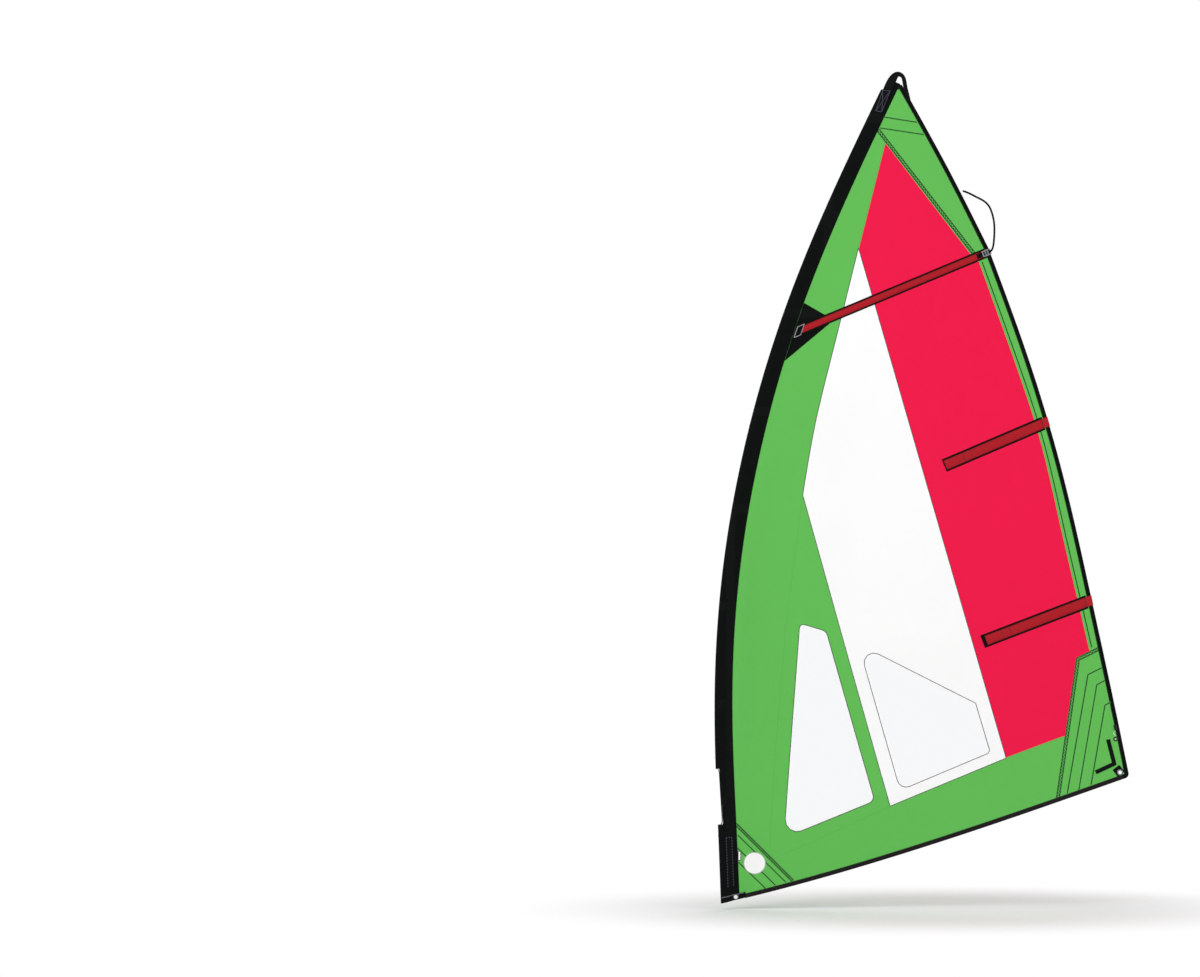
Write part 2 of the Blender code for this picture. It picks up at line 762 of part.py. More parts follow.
def clew_corner_outline(inset_leech, inset_foot, radius):
    """The rounded corner at the clew, from the leech side to the foot side."""
    above = leech_point(CLEW_CORNER[1] + 0.10, inset_leech)
    below = leech_point(CLEW_CORNER[1] + 0.05, inset_leech)
    aft = foot_point(CLEW_CORNER[0] - 0.05, inset_foot)
    front = foot_point(CLEW_CORNER[0] - 0.10, inset_foot)
    corner = meet(above, below, aft, front)
    return rounded((above, corner, front), (0.001, radius, 0.001), 0.0, 5)[6:12]


def clew_patch(name, top, inner, foot, front, back, holes=()):
    """A corner patch: its top on the leech tape, its inner corner, and its end on the foot tape."""
    inset = TAPE_WIDTH + SEAM_GAP
    outline = [inner, *leech_side(top, CLEW_CORNER[1] + 0.06, 4, inset)]
    outline += clew_corner_outline(inset, inset, 0.003)
    outline += foot_side(CLEW_CORNER[0] - 0.06, foot, 4, inset)
    return cloth(name, outline, front, back, "green_cloth", holes)


def make_panels():
    ring_hole = circle(CLEW_RING, RING_CUT)
    tack_hole = circle(TACK_RING, RING_CUT)
    luff_low = FOOT_SEAM_LUFF[1]
    aft_curve = [(luff_panel_x(z), z) for z in span(WHITE_FRONT[1], WHITE_TOP[1], 7)]
    window_front = [WHITE_FRONT, (0.307, 1.401), (0.246, 0.699), WINDOW_PANEL_FOOT]
    outline = luff_side(luff_low, HEAD_SEAM_LUFF[1], 18)
    outline += [HEAD_SEAM_LUFF, RED_TOP, *aft_curve[::-1], *window_front[1:]]
    panel("luff_panel", outline, "green_cloth")
    hole = rounded(FRONT_WINDOW, FRONT_WINDOW_RADII, WINDOW_LAP)
    panel("front_window_panel", [*window_front, WHITE_FOOT], "green_cloth", [hole])
    hole = rounded(REAR_WINDOW, REAR_WINDOW_RADII, WINDOW_LAP)
    panel("white_panel", [*aft_curve, RED_FOOT, WHITE_FOOT], "white_cloth", [hole])
    clew_top = leech_point(CLEW_TOP_HEIGHT, LEECH_HEM)
    strip_foot = meet(CLEW_INNER, clew_top, (strip_x(1.28), 1.28), (strip_x(1.30), 1.30))
    strip = [strip_foot, *((strip_x(z), z) for z in span(1.40, STRIP_CURVE[-1][0], 8))]
    outline = [RED_TOP, WHITE_TOP, RED_FOOT, RED_CLEW, CLEW_INNER, *strip, HEAD_SEAM_LEECH]
    panel("red_panel", outline, "red_cloth")
    kink = leech_point(KINK, LEECH_HEM)
    outline = luff_side(HEAD_SEAM_LUFF[1], SLEEVE_TOP - 0.012, 5)
    outline += [(aft_x(SLEEVE_TOP, 0.002), SLEEVE_TOP - 0.001), *leech_side(SLEEVE_TOP + 0.010, KINK + 0.08, 5)]
    outline += [kink, HEAD_SEAM_LEECH, RED_TOP, HEAD_SEAM_LUFF]
    panel("head_panel", outline, "green_cloth")
    panel("head_gusset", HEAD_GUSSET, "sleeve_cloth")
    outline = [HEAD_SEAM_LEECH, kink, *leech_side(KINK - 0.08, CLEW_TOP_HEIGHT, 12), *strip]
    panel("leech_panel", outline, "green_cloth")
    foot_line = meet(RED_FOOT, RED_CLEW, CLEW_INNER, CLEW_FOOT)
    outline = [FOOT_SEAM_LUFF, WINDOW_PANEL_FOOT, WHITE_FOOT, RED_FOOT, foot_line]
    outline += foot_side(CLEW_FOOT[0] - 0.004, 0.0335, 10)
    panel("foot_panel", outline, "green_cloth", [tack_hole])
    outline = [CLEW_INNER, *leech_side(CLEW_TOP_HEIGHT, CLEW_CORNER[1] + 0.06, 6)]
    outline += clew_corner_outline(LEECH_HEM, FOOT_HEM, CLEW_CORNER_RADIUS - LEECH_HEM)
    outline += foot_side(CLEW_CORNER[0] - 0.06, CLEW_FOOT[0], 4)
    panel("clew_panel", outline, "green_cloth", [ring_hole])


def make_windows():
    film = (CLOTH / 2 + GAP, CLOTH / 2 + GAP + FILM)
    for name, corners, radii in (
        ("front_window", FRONT_WINDOW, FRONT_WINDOW_RADII),
        ("rear_window", REAR_WINDOW, REAR_WINDOW_RADII),
    ):
        cloth(name, rounded(corners, radii, -0.004), *film, "window_film")
        inner = rounded(corners, radii, WINDOW_TAPE)
        cloth(name + "_tape", rounded(corners, radii), *front_layer(1), "white_cloth", [inner])


def make_patches():
    ring_hole = circle(CLEW_RING, RING_CUT)
    clew_patch("clew_patch_large", 1.212, (1.851, 1.174), 1.745, *front_layer(1), [ring_hole])
    clew_patch("clew_patch_middle", 1.147, (1.896, 1.122), 1.804, *back_layer(1), [ring_hole])
    clew_patch("clew_patch_small", 1.035, (1.938, 1.017), 1.867, *front_layer(2), [ring_hole])
    luff_inset = -PATCH_ROOM
    foot_inset = TAPE_WIDTH + SEAM_GAP
    for name, height, reach, layer in (
        ("tack_patch_large", 0.410, 0.345, front_layer(1)),
        ("tack_patch_middle", 0.350, 0.305, back_layer(1)),
        ("tack_patch_small", 0.290, 0.256, front_layer(2)),
    ):
        outline = luff_side(0.105, height, 4, luff_inset)
        outline += foot_side(reach, 0.108, 3, foot_inset)
        cloth(name, outline, *layer, "green_cloth")
    for name, luff_height, leech_height, layer in (
        ("head_patch_large", 3.968, 3.934, front_layer(1)),
        ("head_patch_small", 4.024, 3.997, front_layer(2)),
    ):
        outline = luff_side(luff_height, SLEEVE_TOP - 0.01, 4, luff_inset)
        outline += leech_side(SLEEVE_TOP - 0.01, leech_height, 4, TAPE_WIDTH + SEAM_GAP)
        cloth(name, outline, *layer, "green_cloth")
    outline = [*luff_side(2.779, 3.077, 4, luff_inset), (0.505, 3.016), (0.527, 2.968)]
    cloth("batten_nose_patch", outline, *front_layer(1), "edge_tape")
    disc = circle(DISC_CENTRE, DISC_RADIUS, 32)
    cloth("sail_disc", disc, *front_layer(3), "white_cloth")
    low, high = LABEL_HEIGHTS
    edge = aft_x((low + high) / 2, luff_inset) + 0.001
    label = ((edge, high), (edge + LABEL_WIDTH, high), (edge + LABEL_WIDTH, low), (edge, low))
    cloth("care_label", label, *front_layer(3), "white_cloth")


def pocket_frame(start, end):
    """Origin, direction along the pocket and direction across it, upwards."""
    start, end = np.array(start), np.array(end)
    along = unit(end - start)
    return start, along, np.array((-along[1], along[0])), float(np.linalg.norm(end - start))


def pocket_to_leech(start, towards):
    """The frame of a pocket that runs out to the leech's edge."""
    frame = pocket_frame(start, towards)
    near, far = 0.0, 2 * frame[3]
    for _ in range(40):
        middle = (near + far) / 2
        x, z = at(frame, middle, 0.0)
        near, far = (middle, far) if x < leech_x(z) else (near, middle)
    return (*frame[:3], near)


def at(frame, along, across):
    spot = frame[0] + frame[1] * along + frame[2] * across
    return (float(spot[0]), float(spot[1]))


def slant(frame, direction):
    """How far an edge in this direction runs along the pocket for each unit across it."""
    return float(direction @ frame[1]) / float(direction @ frame[2])


def leech_up(frame):
    z = at(frame, frame[3], 0.0)[1]
    return unit(np.array(leech_point(z + 0.02)) - np.array(leech_point(z - 0.02)))


def raised_sheet(name, frame, rows, widths, height, thickness, material):
    """A sheet on the front face, its inner side at height(row, across), with rows of (along, slant)."""
    points = []
    for extra in (0.0, thickness):
        for number, (along, lean_over) in enumerate(rows):
            for across in widths:
                x, z = at(frame, along + lean_over * across, across)
                points.append((x, -height(number, across) - extra, z))
    lengths, columns = len(rows), len(widths)
    count = lengths * columns

    def corner(layer, row, column):
        return layer * count + row * columns + column

    faces = []
    for layer in (0, 1):
        for row in range(lengths - 1):
            for column in range(columns - 1):
                quad = (
                    corner(layer, row, column),
                    corner(layer, row, column + 1),
                    corner(layer, row + 1, column + 1),
                    corner(layer, row + 1, column),
                )
                faces.append(quad if layer else quad[::-1])
    rim = [(0, c) for c in range(columns)] + [(r, columns - 1) for r in range(1, lengths)]
    rim += [(lengths - 1, c) for c in range(columns - 2, -1, -1)]
    rim += [(r, 0) for r in range(lengths - 2, 0, -1)]
    for here, after in zip(rim, rim[1:] + rim[:1]):
        faces.append((corner(0, *here), corner(0, *after), corner(1, *after), corner(1, *here)))
    return add_solid(name, points, faces, material)


def pocket_cover(name, frame, rows, width, floor, closed_rows, material):
    """A pocket's cover: sewn flat along its sides, raised over the batten, and flat in its closed rows."""
    edge = width / 2
    foot = edge - POCKET_HEM
    crown = foot - POCKET_SLOPE

    def height(row, across):
        return floor + (POCKET_ROOM if row >= closed_rows and abs(across) < foot - 0.001 else 0.0)

    widths = (-edge, -foot, -crown, crown, foot, edge)
    raised_sheet(name, frame, rows, widths, height, POCKET_CLOTH, material)


def pocket_backing(name, frame, start, end, width, layer):
    """The tape under a pocket, which shows as an edging on both sides; start and end are (along, slant)."""
    outline = []
    for (along, lean_over), side in ((start, -1), (end, -1), (end, 1), (start, 1)):
        across = side * width / 2
        outline.append(at(frame, along + lean_over * across, across))
    return cloth(name, outline, *layer, "edge_tape")


def bar_outline(frame, start, end, width, nose=0.006):
    corners = [at(frame, start, -width / 2), at(frame, end, -width / 2)]
    corners += [at(frame, end, width / 2), at(frame, start, width / 2)]
    return rounded(corners, (nose,) * 4, 0.0, 3)


def make_leech_pocket(label, start, end):
    frame = pocket_to_leech(start, end)
    lean_over = slant(frame, leech_up(frame))
    mouth = (frame[3] - FLAP_LENGTH + 0.001, lean_over)
    layer = front_layer(1)
    pocket_backing(label + "_pocket_backing", frame, (0.0, 0.0), mouth, LEECH_POCKET_WIDTH, layer)
    floor = GAP - layer[0]
    band = LEECH_POCKET_END_BANDS[label]
    rows = ((band, 0.0), (band + 0.006, 0.0), (band + 0.012, 0.0), mouth)
    width = LEECH_POCKET_WIDTH - 2 * LEECH_POCKET_MARGIN
    pocket_cover(label + "_batten_pocket", frame, rows, width, floor, 2, "pocket_cloth")
    stop = band + 0.014
    outline = bar_outline(frame, stop, stop + ELASTIC_LENGTH, ELASTIC_WIDTH, 0.002)
    low = floor + BATTEN_LIFT
    levels = (-(low + BATTEN_THICK), -low)
    cloth(label + "_elastic_stop", outline, *levels, "elastic")
    batten_start = stop + ELASTIC_LENGTH + BATTEN_PLAY + 0.001
    batten_end = frame[3] - LEECH_BATTEN_INSET
    x, z = at(frame, batten_end, 0.0)
    pivot = (x, -low - BATTEN_THICK / 2, z)
    outline = bar_outline(frame, batten_start, batten_end, LEECH_BATTEN_WIDTH)
    cloth(label + "_batten", outline, *levels, "glass_fibre", (), pivot)
    make_flap(label + "_pocket_flap", frame, floor + POCKET_ROOM + POCKET_CLOTH + GAP)


def flap_axis(frame):
    """The flap's fold line along the leech edge: a point on it and its direction."""
    z = at(frame, frame[3], 0.0)[1]
    point = np.array(leech_point(z, -0.001))
    other = np.array(leech_point(z + 0.01, -0.001))
    return point, unit(other - point)


def make_flap(name, frame, crest):
    """The closure flap: folded round the leech and pressed over the pocket's mouth."""
    fold, up = flap_axis(frame)
    inward = np.array((-up[1], up[0]))
    if inward[0] > 0:
        inward = -inward
    along = frame[1]
    half = FLAP_WIDTH / 2
    root = 0.0032
    reach = (0.0012, 0.009, FLAP_LENGTH - 0.005, FLAP_LENGTH + 0.004)
    lifts = (root, root + 0.0002, crest, crest)
    loops = []
    for distance, lift in zip(reach, lifts):
        row = []
        for share, sink in ((-1.0, 1.0), (-0.88, 0.0), (0.88, 0.0), (1.0, 1.0)):
            across = share * half
            spot = fold - along * distance / max(float(-along @ inward), 0.1) + up * across
            drop = sink * (lift - root) * 0.55
            row.append((spot[0], -(lift - drop), spot[1]))
        outer = [(x, y - FLAP_CLOTH, z) for x, y, z in row]
        loops.append(row + outer[::-1])
    pivot = (fold[0], -(root + FLAP_CLOTH / 2), fold[1])
    return loft(name, loops, "flap_cloth", pivot)


def make_top_batten():
    frame = pocket_frame(TOP_POCKET_START, TOP_POCKET_END)
    luff_up = unit(np.array((aft_x(2.98) - aft_x(2.90), 0.08)))
    front_slant = slant(frame, luff_up)
    to_leech = pocket_to_leech(TOP_POCKET_START, TOP_POCKET_END)
    mouth = (to_leech[3] - TAPE_WIDTH - 0.001, slant(frame, leech_up(to_leech)))
    layer = front_layer(2)
    floor = GAP - layer[0]
    start = (0.0, front_slant)
    pocket_backing("top_pocket_backing", frame, start, mouth, TOP_POCKET_WIDTH, layer)
    width = TOP_POCKET_WIDTH - 2 * TOP_POCKET_MARGIN
    rows = (start, (0.020, front_slant), (0.060, 0.0), mouth)
    pocket_cover("top_batten_pocket", frame, rows, width, floor, 0, "pocket_cloth")
    low = floor + BATTEN_LIFT
    levels = (-(low + BATTEN_THICK), -low)
    outline = bar_outline(frame, -TOP_BATTEN_NOSE, frame[3] + TOP_BATTEN_TAIL, TOP_BATTEN_WIDTH, 0.007)
    x, z = at(frame, frame[3], 0.0)
    cloth("top_batten", outline, *levels, "glass_fibre", (), (x, -low, z))
    begin = -NOSE_POCKET_LENGTH
    rows = [(along, front_slant) for along in (begin, begin + 0.005, begin + 0.010, -GAP)]
    base = -layer[1]
    pocket_cover("batten_nose_pocket", frame, rows, NOSE_POCKET_WIDTH, base, 2, "edge_tape")


def tensioner_frame():
    """The top pocket's frame, moved to start at the pocket's named end."""
    _, along, across, length = pocket_frame(TOP_POCKET_START, TOP_POCKET_END)
    return np.array(TOP_POCKET_END), along, across, length


def make_tensioner():
    """The webbing anchor, the three-bar buckle that rocks on it, and the strap's free tail."""
    frame = tensioner_frame()
    base = GAP - front_layer(2)[0] + POCKET_ROOM + POCKET_CLOTH + GAP
    anchor = bar_outline(frame, 0.0006, BUCKLE_START - 0.0005, ANCHOR_WIDTH, 0.002)
    cloth("buckle_anchor", anchor, -(base + ANCHOR_THICK), -base, "webbing")
    x, z = at(frame, BUCKLE_HINGE, 0.0)
    hinge = (x, -BUCKLE_BASE, z)
    half = BUCKLE_WIDTH / 2
    loops = []
    for along in span(0.0, BUCKLE_LENGTH, 7):
        share = 2 * along / BUCKLE_LENGTH - 1
        crown = 0.0022 + 0.0024 * (1 - share**2)
        side = half * (1 - 0.10 * share**2)
        profile = [(-side, 0.0), (side, 0.0), (side, crown * 0.7), (side * 0.8, crown)]
        profile += [(-side * 0.8, crown), (-side, crown * 0.7)]
        loop = []
        for across, rise in profile:
            px, pz = at(frame, BUCKLE_START + along, across)
            loop.append((px, -BUCKLE_BASE - rise + 0.001, pz))
        loops.append(loop)
    buckle = loft("tension_buckle", loops, "grey_plastic", hinge, math.radians(40))
    for number, (start, end) in enumerate(BUCKLE_SLOTS):
        corners = []
        for along, across in ((start, -1), (end, -1), (end, 1), (start, 1)):
            corners.append(at(frame, BUCKLE_START + along, across * half * 0.66))
        slot = cloth("buckle_slot_" + str(number), corners, -0.03, 0.0, "grey_plastic")
        cut(buckle, slot)


def smooth_route(route, count):
    """Evenly spread points on one smooth curve through a route, which starts with a place in space."""
    route = np.array(route, float)
    steps = np.diff(route[:, :3], axis=0)
    reach = np.concatenate(([0.0], np.cumsum(np.linalg.norm(steps, axis=1))))
    axes = [smooth_curve(list(zip(reach, route[:, k]))) for k in range(route.shape[1])]
    return [tuple(axis(s) for axis in axes) for s in span(0.0, float(reach[-1]), count)]


def make_strap_tail():
    """The strap's tail: up through the buckle's outer slot, over its end bar and round to the leech."""
    frame = tensioner_frame()
    slot = BUCKLE_START + BUCKLE_SLOTS[-1][0]
    route = [(*at(frame, slot + along, 0.0), level) for along, level in STRAP_THREAD]
    drop = STRAP_LEVEL - STRAP_TIP_LEVEL
    route += [(x, z, STRAP_LEVEL - drop * share) for x, z, share in STRAP_ARCH]
    count = 46
    points = smooth_route(route, count)
    loops = []
    for i, (spot, _, side) in enumerate(path_frames([point[:2] for point in points])):
        half = STRAP_WIDTH / 2 * (0.35 if i == count - 1 else 1.0)
        loop = []
        for across, rise in ((-half, 0.0), (half, 0.0), (half, STRAP_THICK), (-half, STRAP_THICK)):
            edge = spot + side * across
            loop.append((edge[0], -points[i][2] - rise, edge[1]))
        loops.append(loop)
    loft("tension_strap_tail", loops, "webbing")


def leech_path():
    """The sail's edge from the head down the leech and round the clew corner."""
    path = [leech_point(z) for z in span(LEECH_ABOVE_KINK[-1][0], KINK + 0.08, 9)]
    path += [leech_point(z) for z in (KINK + 0.03, KINK, KINK - 0.03)]
    path += [leech_point(z) for z in span(KINK - 0.12, CLEW_CORNER[1] + 0.06, 22)]
    corner = clew_corner_outline(0.0, 0.0, CLEW_CORNER_RADIUS)
    return [*path, *corner, foot_point(corner[-1][0] - 0.006), foot_point(corner[-1][0] - 0.012)]


def make_tapes():
    frames = path_frames(leech_path())
    section = folded_section(LEECH_NOSE, LEECH_LIP_START, TAPE_WIDTH, TAPE_CLOTH, 4)
    loft("leech_tape", [placed(frame, section) for frame in frames], "edge_tape")
    start = leech_path()[-1][0] - 0.0006
    path = [foot_point(x) for x in span(start, 0.1085, 20)]
    section = folded_section(FOOT_NOSE, FOOT_LIP_START, TAPE_WIDTH, TAPE_CLOTH, 3)
    loft("foot_tape", [placed(frame, section) for frame in path_frames(path)], "foot_tape")
    middle = [frame[0] + frame[2] * 0.0050 for frame in frames[1:-8]]
    tube("leech_line", [(x, 0.0, z) for x, z in middle], LEECH_LINE_RADIUS, "white_line")


def tube(name, route, radius, material):
    """A round cord along a route, as a curve with filled ends."""
    data = bpy.data.curves.new(name, "CURVE")
    data.dimensions = "3D"
    data.bevel_depth = radius
    data.bevel_resolution = 1
    data.use_fill_caps = True
    line = data.splines.new("POLY")
    line.points.add(len(route) - 1)
    for point, spot in zip(line.points, route):
        point.co = (*spot, 1.0)
    data.materials.append(finish(material))
    made = bpy.data.objects.new(name, data)
    bpy.context.scene.collection.objects.link(made)
    return made


def turned_ring(name, centre, profile, material, steps=36):
    """A ring turned round an axis through the cloth, from a closed (radius, through) profile."""
    points = []
    for i in range(steps):
        angle = 2 * math.pi * i / steps
        for radius, through in profile:
            x = centre[0] + radius * math.cos(angle)
            z = centre[1] + radius * math.sin(angle)
            points.append((x, through, z))
    count = len(profile)
    faces = []
    for i in range(steps):
        after = (i + 1) % steps
        for j in range(count):
            k = (j + 1) % count
            faces.append((i * count + j, i * count + k, after * count + k, after * count + j))
    return add_solid(name, points, faces, material, smooth=math.radians(40))


def pressed_ring(name, centre, hole, flange, front, back, material="steel_ring"):
    """An eyelet: a barrel through the layers and a flange pressed over each face."""
    barrel = hole + RING_BARREL
    plate = RING_PLATE
    profile = [
        (hole, front - plate * 0.7),
        (hole + 0.0008, front - plate),
        (flange - 0.0010, front - plate),
        (flange, front - plate * 0.4),
        (flange, front),
        (barrel, front),
        (barrel, back),
        (flange, back),
        (flange, back + plate * 0.4),
        (flange - 0.0010, back + plate),
        (hole + 0.0008, back + plate),
        (hole, back + plate * 0.7),
    ]
    return turned_ring(name, centre, profile, material)


def make_clew():
    top = front_layer(3)
    turn = np.array((math.cos(CLEW_SQUARE_TILT), math.sin(CLEW_SQUARE_TILT)))
    half = CLEW_SQUARE_SIDE / 2
    frame = (np.array(CLEW_SQUARE), turn, np.array((-turn[1], turn[0])), 0.0)
    corners = [at(frame, a * half, b * half) for a, b in ((-1, -1), (1, -1), (1, 1), (-1, 1))]
    square = rounded(corners, (0.004,) * 4, 0.0, 2)
    cloth("clew_square_patch", square, *top, "webbing", [circle(CLEW_RING, RING_CUT)])
    back = back_layer(1)[1] + GAP
    pressed_ring("clew_ring", CLEW_RING, RING_HOLE, RING_FLANGE, top[0] - GAP, back)
    lip = CLOTH / 2 + GAP + SLEEVE_CLOTH + GAP
    pressed_ring("tack_ring", TACK_RING, RING_HOLE, TACK_FLANGE, -lip, lip)
    half = CLEW_STRAP_WIDTH / 2
    leech_arm = pocket_frame(CLEW_STRAP_TOP, CLEW_STRAP_BEND)
    foot_arm = pocket_frame(CLEW_STRAP_FOOT, CLEW_STRAP_BEND)
    outline = [at(leech_arm, 0.0, half), at(leech_arm, leech_arm[3] + 0.004, half)]
    outline += [at(foot_arm, foot_arm[3] + 0.003, -half), at(foot_arm, 0.0, -half)]
    outline += [at(foot_arm, 0.0, half)]
    inner = meet(
        at(foot_arm, 0.0, half), at(foot_arm, 0.1, half),
        at(leech_arm, 0.0, -half), at(leech_arm, 0.1, -half),
    )
    outline += [inner, at(leech_arm, 0.0, -half)]
    cloth("clew_strap", outline, top[1] - CLEW_STRAP_THICK, top[1], "webbing")


def make_line_fittings():
    """The leech line's eyelet and cleat on the tape, and the short tail between them."""
    outside = -front_layer(3)[1]
    plate = EYELET_PLATE
    profile = [
        (EYELET_HOLE, -outside),
        (EYELET_HOLE, -outside - plate),
        (EYELET_FLANGE - 0.002, -outside - plate),
        (EYELET_FLANGE, -outside - plate * 0.3),
        (EYELET_FLANGE, -outside),
    ]
    turned_ring("leech_line_eyelet", LINE_EYELET, profile, "black_plastic", 20)
    base = outside + 0.0002
    above = np.array(leech_point(LINE_CLEAT[1] + 0.01))
    up = unit(above - np.array(leech_point(LINE_CLEAT[1])))
    frame = (np.array(LINE_CLEAT), up, np.array((up[1], -up[0])), 0.0)
    profile = [(-0.007, 0.0), (0.007, 0.0), (0.007, 0.008), (0.0035, 0.009), (0.0008, 0.0035)]
    profile += [(-0.0008, 0.0035), (-0.0035, 0.009), (-0.007, 0.008)]
    loops = []
    for along in (-0.013, -0.010, 0.010, 0.013):
        low = 0.55 if abs(along) > 0.011 else 1.0
        loop = []
        for across, rise in profile:
            x, z = at(frame, along, across)
            loop.append((x, -(base + rise * low), z))
        loops.append(loop)
    loft("leech_line_cleat", loops, "black_plastic")
    start = (LINE_EYELET[0] + 0.001, LINE_EYELET[1] + 0.0165)
    end = (LINE_CLEAT[0] + 0.002, LINE_CLEAT[1] - 0.0155)
    bow = 0.006
    route = []
    for i in range(9):
        share = i / 8
        x = start[0] + (end[0] - start[0]) * share + bow * math.sin(2 * math.pi * share)
        z = start[1] + (end[1] - start[1]) * share
        route.append((x, -(outside + 0.0016), z))
    tube("leech_line_tail", route, LEECH_LINE_RADIUS, "white_line")


def make_head():
    """The head strap: sewn on the sleeve, then a loop over the mast's tip and down on the leech tape."""
    heights, fronts, afts = (span(*ends, 5) for ends in (HEAD_STRAP_HEIGHTS, HEAD_STRAP_FRONT, HEAD_STRAP_AFT))
    spots = list(zip(heights, fronts, afts))
    sleeve_strip("head_webbing_anchor", spots, 0.0010, HEAD_STRAP_THICK, "webbing")
    points = smooth_route(HEAD_LOOP, 26)
    through = HEAD_LOOP_THICK / 2
    loops = []
    for (spot, ahead, side), station in zip(path_frames([point[:2] for point in points]), points):
        level, half, tilt, slanted = station[2:]
        edge = half - 0.0015
        profile = ((-half, 0.0), (-edge, -through), (edge, -through))
        profile += ((half, 0.0), (edge, through), (-edge, through))
        loop = []
        for across, y in profile:
            place = spot + (side + ahead * slanted) * across
            loop.append((place[0], y - level + tilt * across / half, place[1]))
        loops.append(loop)
    loft("head_webbing_loop", loops, "webbing", smooth=math.radians(50))


def make_tack_webbing():
    spots = [(z, 0.033, 0.062) for z in span(0.075, SLEEVE_JOINTS[0] - 0.004, 8)]
    sleeve_strip("tack_webbing", spots, 0.0008, 0.0012, "webbing")


def main():
    clear_scene()
    make_sleeve()
    cutout_piping()
    make_panels()
    make_windows()
    make_patches()
    make_top_batten()
    make_tensioner()
    make_strap_tail()
    for label, (start, end) in LEECH_POCKETS.items():
        make_leech_pocket(label, start, end)
    make_tapes()
    make_clew()
    make_line_fittings()
    make_head()
    make_tack_webbing()


main()
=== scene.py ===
"""The looks of a windsurf sail: sewn panels, luff sleeve, clear windows, pockets, tapes and fittings.

Metres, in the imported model's frame: X runs aft to the clew, Z up the luff and Y through the cloth,
with the front face at -Y.
"""

import json
import math

